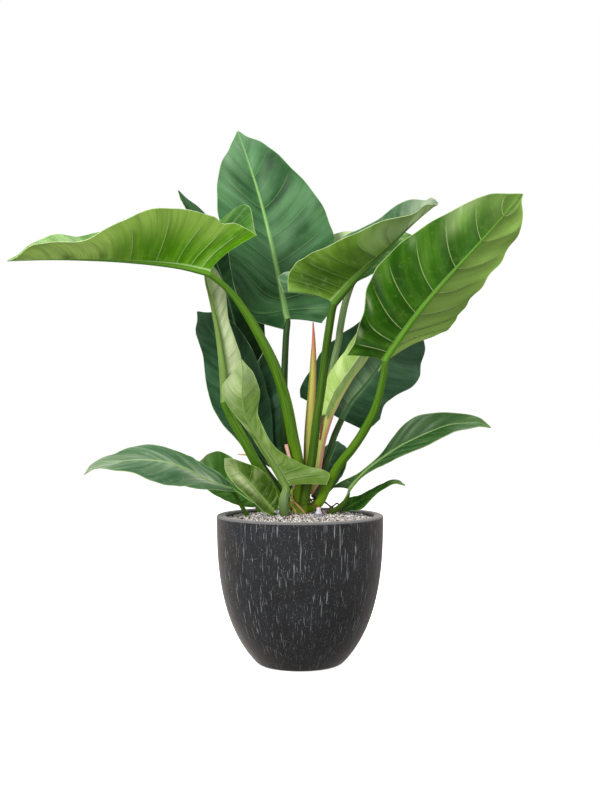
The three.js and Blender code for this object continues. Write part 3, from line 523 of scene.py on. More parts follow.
LEAVES = [
    grow("leaf_left_long", 0.18, [10.5, 9.5, 8.5, 7.5],
         [(-2, -8, 275), (-4, -20, 339), (-12, -28, 381), (-22, -36, 435), (-39, -46, 492),
          (-54, -51, 525), (-88, -60, 585), (-116, -65, 622), (-147, -69, 647)],
         [(-148, -70, 646), (-195, -76, 658), (-282, -86, 667), (-385, -96, 669), (-469, -100, 666)],
         [(0.23, 0.13, 0.96), (0, -0.31, 0.95)],
         ([78, 84, 94, 110, 76, 68, 38, 12], [74, 31, 29], [3, 3]),
         ([112, 120, 92, 88, 80, 68, 38, 12], [80, 33, 32], [3, 3])),
    grow("leaf_back_tall", 0.045, [6.5, 5.5],
         [(-19, 24, 289), (-27, 30, 375), (-27, 38, 477), (-24, 48, 554), (-22, 52, 583)],
         [(-24, 52, 581), (-47, 66, 699), (-72, 86, 802), (-96, 112, 879), (-112, 136, 927)],
         [(0.42, -0.89, 0.19), (0.19, -0.85, 0.49)],
         ([10, 65, 80, 84, 84, 60, 27, 9], [-5, 3, -8], [3, 3]),
         ([58, 80, 87, 109, 97, 58, 33, 10], [20, 20, 18], [3, 3])),
    grow("leaf_right_folded", 0.13, [9, 7.5, 7, 6.8, 6.5],
         [(7, -18, 269), (10, -22, 295), (19, -28, 338), (28, -36, 412), (36, -42, 464),
          (42, -48, 519), (47, -52, 555), (55, -56, 599)],
         [(56, -56, 600), (93, -40, 645), (134, -10, 686), (193, 40, 746), (241, 70, 787)],
         [(-0.77, -0.01, 0.64), (-0.29, -0.58, 0.76)],
         ([72, 95, 80, 75, 66, 45, 31, 13], [85, 38, 50], [3, 3]),
         ([67, 84, 88, 72, 64, 50, 29, 10], [79, 41, 36], [3, 3])),
    grow("leaf_right_broad", 0.06, [8, 7],
         [(14, 4, 261), (24, -2, 264), (33, -10, 272), (43, -18, 294), (65, -32, 335), (87, -44, 364),
          (106, -54, 394), (123, -64, 430), (136, -73, 484), (138, -76, 506)],
         [(137, -76, 505), (177, -90, 565), (219, -104, 619), (293, -122, 701), (351, -130, 768)],
         [(-0.38, 0.81, 0.44), (0.1, 0.99, 0.03)],
         ([8, 16, 44, 88, 63, 51, 35, 9], [30, 24, 28], [3, 3]),
         ([67, 66, 78, 100, 87, 62, 40, 13], [-1, 6, 3], [3, 3])),
    grow("leaf_right_dark", 0.01, [6, 5.5],
         [(24, 14, 278), (32, 22, 293), (43, 32, 335), (50, 40, 354), (60, 56, 382), (72, 76, 407)],
         [(72, 78, 408), (89, 86, 439), (115, 96, 470), (142, 110, 507), (176, 136, 562),
          (207, 170, 619)],
         [(0.16, -0.97, 0.17), (0.7, -0.72, 0.05)],
         ([83, 91, 93, 100, 84, 62, 35, 11], [4, 7, 6], [3, 2]),
         ([50, 57, 60, 50, 78, 65, 35, 11], [29, 3, 8], [3, 3])),
    grow("leaf_new_pale", 0.04, [6, 7, 8],
         [(16, 6, 285), (27, 6, 305), (31, 6, 336), (37, 6, 374), (50, 4, 416)],
         [(51, 4, 418), (69, 2, 451), (89, 2, 482), (112, 6, 511), (132, 14, 545), (149, 26, 576)],
         [(-0.57, -0.78, 0.26), (-0.38, -0.78, 0.51)],
         ([8, 16, 23, 36, 38, 36, 21, 7], [25, 28, 31], [2, 2]),
         ([6, 13, 20, 28, 30, 24, 15, 5], [73, 78, 79], [2, 2])),
    grow("leaf_left_dark", 0.09, [7, 6],
         [(-12, 14, 270), (-25, 15, 282), (-51, 20, 312), (-74, 29, 344)],
         [(-75, 30, 345), (-98, 46, 408), (-120, 62, 474), (-142, 82, 540), (-182, 108, 600)],
         [(0.37, -0.86, 0.35), (-0.38, -0.91, 0.14)],
         ([16, 30, 40, 58, 44, 32, 22, 7], [42, 29, 26], [4, 3]),
         ([20, 29, 41, 54, 55, 44, 29, 9], [-2, 9, 12], [2, 2])),
    grow("leaf_left_pale_upper", 0.05, [9, 8],
         [(-20, 0, 262), (-35, -6, 275), (-50, -10, 300), (-74, -15, 339), (-95, -18, 379),
          (-114, -20, 413), (-125, -22, 440)],
         [(-125, -22, 443), (-128, -20, 490), (-136, -14, 552), (-146, -8, 598), (-158, -2, 647),
          (-161, 4, 683)],
         [(0.6, 0.8, 0), (0.41, 0.9, -0.12)],
         ([8, 18, 30, 32, 22, 28, 22, 8], [46, 50, 35], [2, 2]),
         ([5, 11, 17, 24, 26, 20, 12, 4], [64, 53, 57], [2, 2])),
    grow("leaf_left_pale_lower", 0.11, [8, 8],
         [(-22, -28, 238), (-27, -33, 264), (-26, -40, 283), (-23, -45, 296)],
         [(-23, -46, 298), (-41, -54, 333), (-69, -64, 381), (-89, -70, 417), (-94, -72, 454),
          (-93, -70, 485), (-96, -66, 510)],
         [(0.32, 0.87, 0.37), (0.1, 0.98, -0.15)],
         ([60, 72, 41, 17, 21, 32, 20, 6], [17, 37, 40], [2, 2]),
         ([6, 10, 11, 9, 12, 37, 21, 7], [19, 15, 15], [1, 3])),
    grow("leaf_back_left", 0.09, [6, 5],
         [(-19, 26, 279), (-28, 60, 302), (-38, 88, 329), (-51, 102, 360), (-75, 108, 422),
          (-89, 111, 459)],
         [(-89, 112, 461), (-111, 130, 547), (-142, 156, 661), (-185, 196, 767), (-229, 230, 837)],
         [(0.36, -0.87, 0.33), (0.57, -0.53, 0.62)],
         ([19, 33, 43, 48, 43, 33, 20, 6], [-11, 28, 12], [2, 2]),
         ([16, 24, 38, 66, 63, 45, 25, 8], [-7, -3, -1], [2, 2])),
    grow("leaf_mid_dark", 0.02, [5.5, 5],
         [(-8, 22, 286), (-19, 28, 297), (-26, 39, 314), (-34, 51, 335)],
         [(-35, 52, 336), (-56, 66, 382), (-70, 80, 434), (-74, 94, 482), (-66, 108, 528)],
         [(-0.6, -0.8, -0.03), (0.63, -0.77, 0.12)],
         ([24, 34, 39, 39, 31, 23, 14, 5], [-26, 26, 59], [2, 2]),
         ([18, 32, 40, 46, 47, 38, 23, 7], [-7, 15, 29], [2, 2])),
    grow("leaf_low_left", 0.01, [4, 3.5],
         [(-77, 1, 212), (-81, 0, 230), (-89, -4, 248), (-102, -10, 272), (-116, -15, 294)],
         [(-115, -14, 292), (-135, -26, 300), (-160, -34, 312), (-189, -44, 329), (-223, -56, 341),
          (-263, -66, 345), (-298, -74, 342), (-332, -80, 336), (-349, -84, 322)],
         [(0.3, -0.6, 0.7), (-0.4, -0.4, 0.8)],
         ([9, 17, 27, 44, 61, 36, 16, 6], [25, 0, 20], [2, 2]),
         ([9, 16, 24, 28, 38, 27, 17, 6], [16, 8, 0], [1, 2])),
    grow("leaf_low_left_back", 0.04, [4, 3.5],
         [(-62, 42, 212), (-65, 44, 229), (-71, 46, 252), (-79, 51, 265)],
         [(-78, 50, 263), (-97, 58, 275), (-124, 72, 293), (-151, 88, 313), (-181, 104, 331)],
         [(0, -0.85, 0.53), (-0.36, -0.91, 0.21)],
         ([8, 16, 25, 29, 34, 29, 18, 6], [21, 27, 18], [2, 2]),
         ([8, 17, 27, 39, 44, 41, 27, 9], [18, 23, 30], [2, 2])),
    grow("leaf_low_front", 0.04, [4.5, 4],
         [(-27, -16, 221), (-35, -22, 239), (-42, -27, 250), (-46, -30, 255)],
         [(-47, -30, 258), (-62, -41, 278), (-78, -53, 299), (-98, -66, 324), (-112, -74, 339),
          (-122, -79, 348)],
         [(0.69, -0.72, 0.12), (0.46, -0.89, 0.02)],
         ([7, 14, 22, 26, 31, 26, 17, 6], [25, 34, 6], [1, 2]),
         ([8, 16, 24, 31, 30, 17, 10, 4], [20, 19, 19], [1, 2])),
    grow("leaf_low_right", 0.07, [4.5, 4],
         [(42, 6, 233), (51, 2, 252), (64, -4, 261), (74, -10, 271), (80, -14, 281), (82, -18, 291)],
         [(83, -18, 293), (92, -21, 305), (108, -27, 323), (130, -34, 342), (164, -45, 366),
          (186, -51, 378), (216, -58, 392), (243, -62, 402), (264, -65, 405), (289, -66, 406),
          (311, -66, 398)],
         [(-0.53, -0.83, 0.19), (0.23, -0.75, 0.62)],
         ([26, 20, 6, 7, 33, 20, 13, 5], [17, 13, 9], [1, 2]),
         ([5, 5, 6, 15, 25, 21, 12, 4], [15, 18, 18], [1, 2])),
    grow("leaf_small_right", 0.02, [3.5, 3],
         [(58, 30, 222), (65, 26, 240), (73, 22, 253)],
         [(73, 22, 253), (86, 17, 262), (103, 10, 272), (122, 2, 286), (141, -6, 299), (159, -12, 306),
          (176, -16, 300)],
         [(-0.61, -0.64, 0.47), (0.12, -0.63, 0.77)],
         ([18, 24, 22, 15, 9, 7, 5, 2], [-15, -12, 12], [1, 1]),
         ([2, 6, 12, 20, 11, 7, 5, 2], [1, 11, 20], [1, 1])),
    grow("leaf_low_back", 0.07, [5, 4.5],
         [(14, 22, 255), (24, 38, 262), (28, 44, 271), (31, 50, 283)],
         [(31, 50, 284), (42, 62, 316), (56, 80, 345), (67, 98, 370)],
         [(-0.31, -0.85, 0.42), (-0.12, -0.78, 0.61)],
         ([14, 20, 20, 22, 25, 20, 14, 5], [11, 9, 14], [2, 2]),
         ([15, 26, 33, 38, 37, 31, 19, 6], [19, 16, 20], [2, 2])),
    grow("leaf_back_right", 0.01, [6.5, 6],
         [(10, 18, 290), (19, 24, 303), (38, 34, 392), (52, 40, 477), (59, 44, 512), (66, 48, 541),
          (70, 50, 569), (79, 56, 613), (89, 60, 643)],
         [(90, 62, 645), (113, 90, 676), (141, 122, 708), (175, 156, 736), (205, 186, 747)],
         [(-0.43, -0.49, 0.76), (0.44, -0.66, 0.61)],
         ([49, 76, 92, 96, 60, 36, 18, 6], [-4, 30, 10], [2, 2]),
         ([16, 30, 38, 34, 33, 30, 19, 6], [3, -2, -8], [2, 2])),
]
SHEATHS = {
    "sheath_spear": ([(6, 4, 272), (8, 1, 288), (12, 0, 332), (14, 0, 374), (19, -2, 446),
                      (21, -3, 475), (23, -5, 539), (22, -6, 574)], [6.5, 6.8, 7.6, 7, 5, 1]),
    "sheath_stub": ([(-8, -10, 285), (-12, -26, 315), (-17, -32, 344), (-23, -36, 369)], [3, 3]),
    "sheath_red_tip": ([(38, -2, 417), (37, -1, 399), (34, 0, 376)], [0.8, 1.6, 1.8]),
    "sheath_dry_scrap": ([(-104, -10, 352), (-90, -14, 351), (-75, -18, 348)], [0.8, 1.4, 1.6]),
}
ROOTS = {
    "root_pale_left": ([(-12, -6, 289), (-12, -24, 276), (-2, -26, 266), (7, -24, 255),
                        (10, -22, 241)], [1.6, 1.4]),
    "root_pale_low": ([(-10, -2, 275), (-15, -22, 268), (-8, -26, 258), (-5, -26, 241)], [1.5, 1.3]),
    "root_brown_middle": ([(8, -2, 288), (19, -10, 274), (25, -20, 267), (33, -14, 261),
                           (39, -6, 251), (40, -2, 237)], [1.4, 1.2]),
    "root_brown_right": ([(12, 10, 272), (29, 14, 275), (42, 8, 270), (50, 6, 264), (58, 8, 258),
                          (63, 10, 241)], [1.6, 1.4]),
    "root_brown_loop": ([(68, 14, 236), (68, 10, 262), (63, 8, 268), (56, 2, 264), (48, -2, 259),
                         (42, -4, 241)], [1.4, 1.2]),
}
print("leaves:", len(LEAVES), "sheaths:", len(SHEATHS), "roots:", len(ROOTS))

# %% [markdown]
# ## The looks of the leaves
#
# No two leaves look alike, so each gets its own tones for its upper side, under side, stalk and
# rib, the slots of blade and stalk, and the height of the swelling between its veins in
# millimetres. lean says how far the side veins lean forward near the rib and at the margin,
# left half then right half. halves is how pale or, below 0, how dark each half is. scallop is
# the depth of the dents at the margin as a share of the reach. taper and knee shape the rib.
#
# The pale and dark spots are partly the leaf's own lighter and darker tone and partly painted
# light and painted shade, and the glint spots are painted highlights. Each gives the vein count
# and the place across, its sizes, and how strong it is. bumps change the reach of one half:
# side, place along, size, millimetres.

# %% The looks of the leaves
def looks_of(upper, under, stalk, rib, slots, quilt, **more):
    """How one leaf is dressed. What it does not name stays plain."""
    plain = {"lean": (0.1, 0.12, 0.1, 0.12), "taper": 1.0, "knee": 1.0, "halves": (0, 0),
             "scallop": (0.008, 0.008), "pale": [], "dark": [], "shine": [], "bumps": []}
    own = {"upper": upper, "under": under, "stalk": stalk, "rib": rib, "slots": slots, "quilt": quilt}
    return plain | own | more


LOOKS = {
    "leaf_left_long": looks_of(
        "fresh", "sunny", "bright", "bright", ("leaf_bright", "stalk_bright"), 2.2,
        lean=(-0.1, 0, 0.1, 0.1), taper=1.5, knee=0.64,
        pale=[(5.3, -1, 2.4, 0.45, 0.66), (7.3, -0.6, 0.8, 0.6, 0.95), (8.8, -0.3, 0.8, 0.7, 0.95),
              (8.5, 0.7, 2, 0.8, 0.8), (3.2, -0.85, 0.5, 0.3, 0.3)],
        dark=[(7.9, -0.1, 0.14, 0.2, 0.7), (6.9, -0.2, 0.12, 0.3, 0.4), (2.1, -0.8, 0.4, 0.25, 0.5),
              (6.1, -0.45, 0.16, 0.3, 0.35), (2.2, -0.4, 1.4, 0.6, 0.5), (4.2, -0.1, 2, 0.3, 0.4),
              (2, 0.75, 0.6, 0.4, 0.95)],
        bumps=[("right", 0.075, 0.05, 22), ("right", 0, 0.03, -26), ("left", 0.122, 0.022, -9)]),
    "leaf_back_tall": looks_of(
        "blue", "mid", "dark", "blue", ("leaf_blue", "stalk_dark"), 3.2, scallop=(0.006, 0.008),
        lean=(0.36, 0.26, 0.2, 0.16),
        pale=[(7.48, 0.26, 0.4, 0.3, 0.35), (6.3, 0.6, 0.3, 0.3, 0.4), (5.44, 0.8, 0.4, 0.2, 0.45),
              (6.9, -0.8, 0.8, 0.35, 0.75), (5.7, 0.15, 0.7, 0.3, 0.55), (1.9, 0.66, 0.3, 0.3, 0.8),
              (9.2, 0, 0.6, 1, 0.3), (8.2, -0.7, 0.5, 0.4, 0.4)],
        dark=[(7.73, 0.75, 0.25, 0.3, 0.95), (7.36, -0.48, 0.25, 0.3, 0.6),
              (6.9, 0.64, 0.14, 0.3, 0.8), (7.01, 0.3, 0.14, 0.2, 0.6), (6.4, 0.35, 0.14, 0.3, 0.4),
              (5.46, 0.54, 0.14, 0.16, 0.6), (5.2, 0.3, 0.1, 0.14, 0.4), (2.41, -0.84, 0.2, 0.2, 0.9),
              (3, 0.37, 0.35, 0.3, 0.9), (2.7, 0.8, 0.2, 0.2, 0.6), (1.9, 0.4, 0.14, 0.2, 0.6),
              (1.4, 0.8, 0.2, 0.2, 0.5), (1.5, -0.7, 0.3, 0.4, 0.5)]),
    "leaf_right_folded": looks_of(
        "grey", "olive", "mid", "olive", ("leaf_olive", "stalk_mid"), 1.6,
        lean=(-0.1, 0.1, -0.42, -0.1), taper=1.3,
        pale=[(8.4, 0.45, 0.9, 0.6, 0.85), (6.8, 0.6, 0.6, 0.4, 0.5), (9.3, -0.6, 0.9, 0.6, 0.6)],
        dark=[(7.2, -0.6, 0.9, 0.6, 0.6), (2.4, 0.6, 1.6, 0.5, 0.85), (3.6, 0.3, 1.6, 0.5, 0.35),
              (5, 0.1, 1.4, 0.2, 0.2), (4.2, 0.5, 0.8, 0.4, 0.2)],
        bumps=[("left", 0.98, 0.04, 9)]),
    "leaf_right_broad": looks_of(
        "blue", "bright", "bright", "bright", ("leaf_bright", "stalk_bright"), 3.8,
        lean=(0.2, 0.26, 0.1, 0.14), taper=1.2, knee=0.76, halves=(0.56, 0), scallop=(0.03, 0.006),
        pale=[(8.84, 0.6, 0.3, 0.3, 0.3), (6.5, -0.7, 2.6, 0.6, 0.2), (7.6, 0.8, 0.7, 0.3, 0.36),
              (1.6, -0.6, 1.6, 0.6, 0.4), (9.6, -0.5, 0.7, 0.9, -0.45)],
        dark=[(9.2, 0.4, 0.7, 0.7, 0.5), (4.13, 0.88, 0.25, 0.25, 0.9), (2.71, 0.97, 0.22, 0.3, 0.95),
              (5.24, 0.73, 0.2, 0.25, 0.6), (6.73, 0.08, 0.3, 0.2, 0.5), (8.6, 0.3, 0.3, 0.3, 0.6),
              (2.39, 0.29, 0.3, 0.2, 0.5), (2.05, 0.71, 0.3, 0.2, 0.6), (1.2, 0.5, 0.3, 0.6, 0.5)],
        shine=[(7.6, 0.95, 0.5, 0.14, 0.4), (7.29, 0.7, 0.3, 0.14, 0.2), (3.44, 0.89, 0.12, 0.08, 0.6),
               (2.41, 0.94, 0.16, 0.08, 0.5), (5.86, 0.92, 0.16, 0.1, 0.2)]),
    "leaf_right_dark": looks_of(
        "dark", "mid", "dark", "dark", ("leaf_dark", "stalk_dark"), 2.4, scallop=(0.008, 0.008),
        pale=[(5, -0.1, 1.6, 0.22, 0.6), (6, 0, 1.6, 0.7, 0.3)],
        dark=[(1.5, 0, 0.7, 0.9, 0.4), (1.2, 0.7, 0.5, 0.3, 0.6)],
        shine=[(4.4, -0.04, 1.8, 0.1, 0.28)]),
    "leaf_new_pale": looks_of(
        "new", "new", "new", "new", ("leaf_new", "stalk_new"), 0.6, taper=2.4, knee=0.85),
    "leaf_left_dark": looks_of(
        "dark", "mid", "dark", "dark", ("leaf_dark", "stalk_dark"), 1.6, halves=(0, 0.25),
        pale=[(6.5, -0.5, 1.5, 0.4, 0.35)]),
    "leaf_left_pale_upper": looks_of(
        "mid", "pale", "bright", "pale", ("leaf_pale", "stalk_mid"), 0.3, halves=(0.3, 0.35),
        pale=[(7.2, -0.65, 1.3, 0.35, 0.95), (5, -0.5, 1.4, 0.4, 0.8)],
        dark=[(6.5, -0.2, 3, 0.12, 0.3)]),
    "leaf_left_pale_lower": looks_of(
        "blue", "pale", "pale", "pale", ("leaf_pale", "stalk_pale"), 0.5, taper=2, knee=0.8,
        pale=[(8, 0.7, 0.7, 0.4, 0.6)],
        dark=[(8.7, -0.8, 0.8, 0.5, 0.6), (2.3, -0.55, 1.2, 0.5, 0.5), (3.2, -0.4, 0.6, 0.3, 0.4),
              (7.2, 0.6, 0.8, 0.4, 0.3)]),
    "leaf_back_left": looks_of(
        "deep", "mid", "dark", "dark", ("leaf_dark", "stalk_dark"), 1.6,
        pale=[(9.3, 0.4, 0.9, 0.9, 0.6)]),
    "leaf_mid_dark": looks_of(
        "dark", "mid", "dark", "dark", ("leaf_dark", "stalk_dark"), 1.4),
    "leaf_low_left": looks_of(
        "grey", "mid", "mid", "mid", ("leaf_blue", "stalk_mid"), 1.2, knee=0.85,
        lean=(0.3, 0.3, 0.3, 0.3),
        pale=[(4.4, -0.12, 1.6, 0.16, 0.7), (7.4, 0.4, 0.9, 0.5, 0.2), (8.3, -0.4, 0.6, 0.5, 0.4),
              (3.9, -0.05, 0.9, 0.5, 0.85)],
        dark=[(5.6, -0.65, 1.5, 0.4, 0.75), (5.6, 0.6, 0.5, 0.4, 0.6), (2.2, 0.3, 0.6, 0.5, 0.3)]),
    "leaf_low_left_back": looks_of(
        "leafy", "mid", "mid", "mid", ("leaf_mid", "stalk_mid"), 0.8, halves=(0.1, 0.1)),
    "leaf_low_front": looks_of(
        "olive", "mid", "mid", "pale", ("leaf_olive", "stalk_mid"), 1.2,
        pale=[(6.6, -0.22, 1.8, 0.26, 0.95), (7.6, -0.5, 1, 0.35, 0.6)],
        dark=[(5, 0.5, 1.6, 0.7, 0.55), (4, -0.7, 1.4, 0.3, 0.5), (9.4, -0.6, 0.5, 0.4, 0.5),
              (2.2, 0, 1, 0.9, 0.5)]),
    "leaf_low_right": looks_of(
        "mid", "mid", "mid", "mid", ("leaf_mid", "stalk_mid"), 1, knee=0.6, taper=1.4,
        halves=(-0.6, -0.15), lean=(0.3, 0.3, 0.3, 0.3),
        pale=[(4, 0, 1.6, 0.14, 0.6), (6.6, -0.5, 0.8, 0.3, 0.2)],
        dark=[(1.2, -0.5, 0.7, 0.7, 0.6), (5, 0.6, 1.5, 0.4, 0.35), (7, 0.15, 1.2, 0.3, 0.5)]),
    "leaf_small_right": looks_of(
        "leafy", "mid", "mid", "olive", ("leaf_mid", "stalk_mid"), 0.5, knee=0.6, halves=(-0.5, -0.7),
        pale=[(8.9, 0, 0.6, 1.2, 0.8)]),
    "leaf_low_back": looks_of(
        "dark", "mid", "dark", "mid", ("leaf_dark", "stalk_dark"), 1),
    "leaf_back_right": looks_of(
        "leafy", "mid", "pale", "mid", ("leaf_blue", "stalk_pale"), 1,
        pale=[(5.4, -0.9, 0.9, 0.4, 0.95), (8.8, -0.2, 0.5, 0.7, 0.9)],
        dark=[(6.4, 0.2, 1.6, 0.5, 0.7)],
        shine=[(5.4, -0.95, 0.8, 0.3, 0.95)],
        bumps=[("left", 0.54, 0.11, -22)]),
}
spots = [spot for looks in LOOKS.values() for spot in looks["pale"] + looks["dark"] + looks["shine"]]
print("looks:", len(LOOKS), "soft spots:", len(spots))

# %% [markdown]
# ## The form of a leaf
#
# u runs along the rib and v across it. Side veins leave the rib and sweep back into the two
# lobes at the knee and forward to the tip. The blade folds up along the rib, and its margin
# waves. What the solids leave out is added here: the tissue swells between two side veins,
# and the margin ripples a little more than the solid's.

# %% Leaf form
STATIONS = [0, 0.06, 0.15, 0.3, 0.5, 0.7, 0.85, 0.95, 1]
FORWARD = [0, 0, 0, 0, 0.05, 0.07, 0.05, 0.02, 0]
INTO_LOBE = [-1, -0.9, -0.55, -0.1, 0, 0, 0, 0, 0]
VEINS_AT = [-0.2, 0.0, 0.045, 0.1, 0.17, 0.27, 0.4, 0.55, 0.72, 0.87, 1.0, 1.2]
ABOVE_RIB = 0.7


def rib_frame(leaf, t):
    """Places on the rib, with the ways that are up and right there."""
    place, way = leaf["line"].at(t)
    inside = np.clip(t, 0, 1)[..., None]
    up = (1 - inside) * np.array(leaf["face"][0], float) + inside * np.array(leaf["face"][1], float)
    up = up - np.sum(up * way, -1, keepdims=True) * way
    up /= np.linalg.norm(up, axis=-1, keepdims=True)
    return place, up, np.cross(way, up)


def knee_lift(leaf, u):
    """How far the blade lies above the rib's line, which it meets at the tip."""
    return ABOVE_RIB * leaf["radius"][-1] * (1 - u) ** 3


def of_half(v, left, right):
    return np.where(v < 0, left, right)


def reach_at(leaf, looks, u, v):
    """How far the blade reaches from the rib, in millimetres, with the bumps of its margin."""
    reach = of_half(v, *(between(STATIONS, leaf[side]["reach"], u) for side in ("left", "right")))
    for side, middle, width, height in looks["bumps"]:
        here = (v < 0) if side == "left" else (v >= 0)
        reach = reach + here * height * np.exp(-(((u - middle) / width) ** 2))
    return reach


def blade_points(leaf, looks, u, v):
    """The middle of the blade's thickness."""
    out = np.abs(v)
    sweep = between(STATIONS, FORWARD, u) + leaf["lobe"] * between(STATIONS, INTO_LOBE, u)
    place, up, right = rib_frame(leaf, u + sweep * out**1.5)
    reach = out * reach_at(leaf, looks, u, v)
    folds, waves = [], []
    for side in ("left", "right"):
        height, number = leaf[side]["wave"]
        folds.append(np.radians(between([0, 0.5, 1], leaf[side]["fold"], u)))
        waves.append(height * out**2 * np.sin(2 * np.pi * number * u))
    fold = of_half(v, *folds)
    rise = reach * np.sin(fold) + of_half(v, *waves) + knee_lift(leaf, u)
    return place + (np.sign(v) * reach * np.cos(fold))[..., None] * right + rise[..., None] * up


def vein_count(looks, u, v):
    """How many side veins lie between the knee and this point. Whole numbers are on a vein."""
    out = np.abs(v)
    left_near, left_far, right_near, right_far = looks["lean"]
    near, far = of_half(v, left_near, right_near), of_half(v, left_far, right_far)
    lean = (near * (1 - out) + far * out) * out**1.2
    return np.interp(u - lean * ramp(0, 0.3, u) * (1 - 0.6 * u), VEINS_AT, np.arange(len(VEINS_AT)))


def look_of(looks, count, v):
    """How pale and how dark each point is, for its own tone and for painted light and shade,
    and how strong its painted highlight is.
    """
    left, right = looks["halves"]
    half_tone = left * ramp(0.03, -0.03, v) + right * ramp(-0.03, 0.03, v)
    totals = {"pale": np.maximum(half_tone, 0), "dark": np.maximum(-half_tone, 0), "shine": np.zeros_like(v)}
    for kind, total in totals.items():
        for at_count, at_v, wide, far, amount in looks[kind]:
            total += amount * np.exp(-(((count - at_count) / wide) ** 2) - ((v - at_v) / far) ** 2)
    return [np.clip(total, 0, 0.95) for total in totals.values()]


def quilted(leaf, looks, u, v, count, points):
    """The same points, swollen between the veins and rippled at the margin."""
    out = np.abs(v)
    along, across = np.gradient(points, axis=0), np.gradient(points, axis=1)
    normal = np.cross(across, along)
    normal /= np.linalg.norm(normal, axis=-1, keepdims=True) + 1e-9
    swell = np.abs(np.sin(np.pi * count)) ** 0.7 - 0.6
    fade = ramp(0.02, 0.3, out) * (1 - 0.6 * ramp(0.85, 1, out)) * ramp(0, 0.06, u) * (1 - ramp(0.88, 1, u))
    start = sum(ord(letter) for letter in leaf["name"])
    ripple = np.sin(5.3 * count + start) * 0.5 + np.sin(2.1 * count + 2.0 * start + 3 * v)
    edge = ramp(0.45, 1, out) * ramp(0.02, 0.2, u) * (1 - ramp(0.8, 1, u))
    height = looks["quilt"] * (swell * fade + 0.7 * ripple * edge)
    return points + height[..., None] * normal


print("side veins on each half:", sum(0 < place < 1 for place in VEINS_AT))

# %% [markdown]
# ## Making the leaves
#
# For each leaf a grid is led along the rib, and a Solidify modifier gives it its thickness.
# The modifier also gives the under side and the edge materials of their own. The rib could be
# drawn on, but it is a raised cord that the stalk runs on into, so it is a tube that thins
# towards the tip and lies half sunk in the under side. The stalk is a tube along the same
# line, so that rib and stalk meet without a step.

# %% Leaves
ROWS, COLUMNS = 84, 44
THICK = 1.2
ROWS_TO_KNEE, COLUMNS_TO_RIB = 1.12, 1.3
RIB_SUNK = 0.62


def make_blade(leaf, looks):
    """The blade. Its cells are smaller near the knee and near the rib."""
    piece, order, x, u = grid(leaf["name"] + "_dressed", COLUMNS, ROWS)
    u = u**ROWS_TO_KNEE
    v = np.sign(x - 0.5) * np.abs(2 * x - 1) ** COLUMNS_TO_RIB
    out = np.abs(v)
    count = vein_count(looks, u, v)
    dents = of_half(v, *looks["scallop"]) * ramp(0.5, 1, out) * ramp(0.05, 0.15, u)
    points = blade_points(leaf, looks, u, v * (1 - dents * np.cos(2 * np.pi * count)))
    reach = reach_at(leaf, looks, u, v)
    rib_half = leaf["radius"][-1] * looks["knee"] * (1 - u) ** looks["taper"] * 0.7 + 0.5
    space = np.interp(count, np.arange(len(VEINS_AT) - 1) + 0.5, np.diff(VEINS_AT)) * leaf["line"].length
    set_points(piece, order, quilted(leaf, looks, u, v, count, points))
    set_attribute(piece, "lines", order, count, out * reach / rib_half, (1 - out) * reach)
    set_attribute(piece, "spot", order, u, v, space)
    set_attribute(piece, "look", order, *look_of(looks, count, v))
    for material in (UPPER[looks["upper"]], UNDER[looks["under"]], EDGE):
        piece.data.materials.append(material)
    pick(piece)
    solidify = piece.modifiers.new("Solidify", "SOLIDIFY")
    solidify.thickness = THICK * MM
    solidify.offset = 0.0
    solidify.material_offset = 1
    solidify.material_offset_rim = 2
    bpy.ops.object.modifier_apply(modifier=solidify.name)
    smooth(piece, 60)
    return piece


def rib_size(leaf, looks, t):
    return leaf["radius"][-1] * looks["knee"] * (1 - t) ** looks["taper"] * 0.92 + 0.55


def stalk_line(leaf, looks):
    """One line through the stalk and on under the rib, and the share at which the knee lies."""
    t = np.linspace(0.015, 1, 34)
    place, up, _ = rib_frame(leaf, t)
    under = place + (knee_lift(leaf, t) - RIB_SUNK * rib_size(leaf, looks, t))[:, None] * up
    line = Line(leaf["stalk"] + [tuple(point) for point in under])
    return line, Line(leaf["stalk"]).length / line.length


for leaf in LEAVES:
    looks = LOOKS[leaf["name"]]
    leaf["line"] = Line(leaf["rib"])
    blade = make_blade(leaf, looks)
    line, knee_at = stalk_line(leaf, looks)
    rib = tube(leaf["name"] + "_rib", line,
               lambda share: rib_size(leaf, looks, np.clip((share - knee_at) / (1 - knee_at), 0, 1)),
               14, 60, start=knee_at)
    rib.data.materials.append(RIB[looks["rib"]])
    pick(blade)
    rib.select_set(True)
    bpy.ops.object.join()
    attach(blade, "root")
    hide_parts(leaf["name"] + "_blade")
    stalk = tube(leaf["name"] + "_stalk_dressed", line,
                 lambda share: tapered(leaf["radius"], knee_at)(share)
                 * (1 - (1 - looks["knee"]) * ramp(0.6, 1, share / knee_at)),
                 20, 48, end=knee_at)
    stalk.data.materials.append(STALK[looks["stalk"]])
    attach(stalk, "root")
    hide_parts(leaf["name"] + "_stalk")
print("faces of one leaf:", len(blade.data.polygons))

# %% [markdown]
# ## The planter
#
# The planter is round with a curved belly, a broad flat rim and a small foot. A lathe is the
# natural way: half a section is drawn as a line of points and spun round the Z axis. Its fibre
# clay is nearly black, with thin pale streaks that run down and fine specks. The top of the rim
# is light grey, partly its own grey and partly painted light for the lamps above it.

# %% Planter
RIM_HEIGHT, RIM_RADIUS, WALL, FLOOR_HEIGHT = 250, 140, 15, 16
BELLY_DEPTH, BELLY_POWER = 278.6, 2.62
FOOT_RADIUS, FOOT_ROUND, FOOT_POWER = 62, 7.5, 2.4
OUTER_TURN, INNER_TURN = 3, 2


def pot_radius(z):
    return RIM_RADIUS * (1 - ((RIM_HEIGHT - z) / BELLY_DEPTH) ** BELLY_POWER) ** 0.5


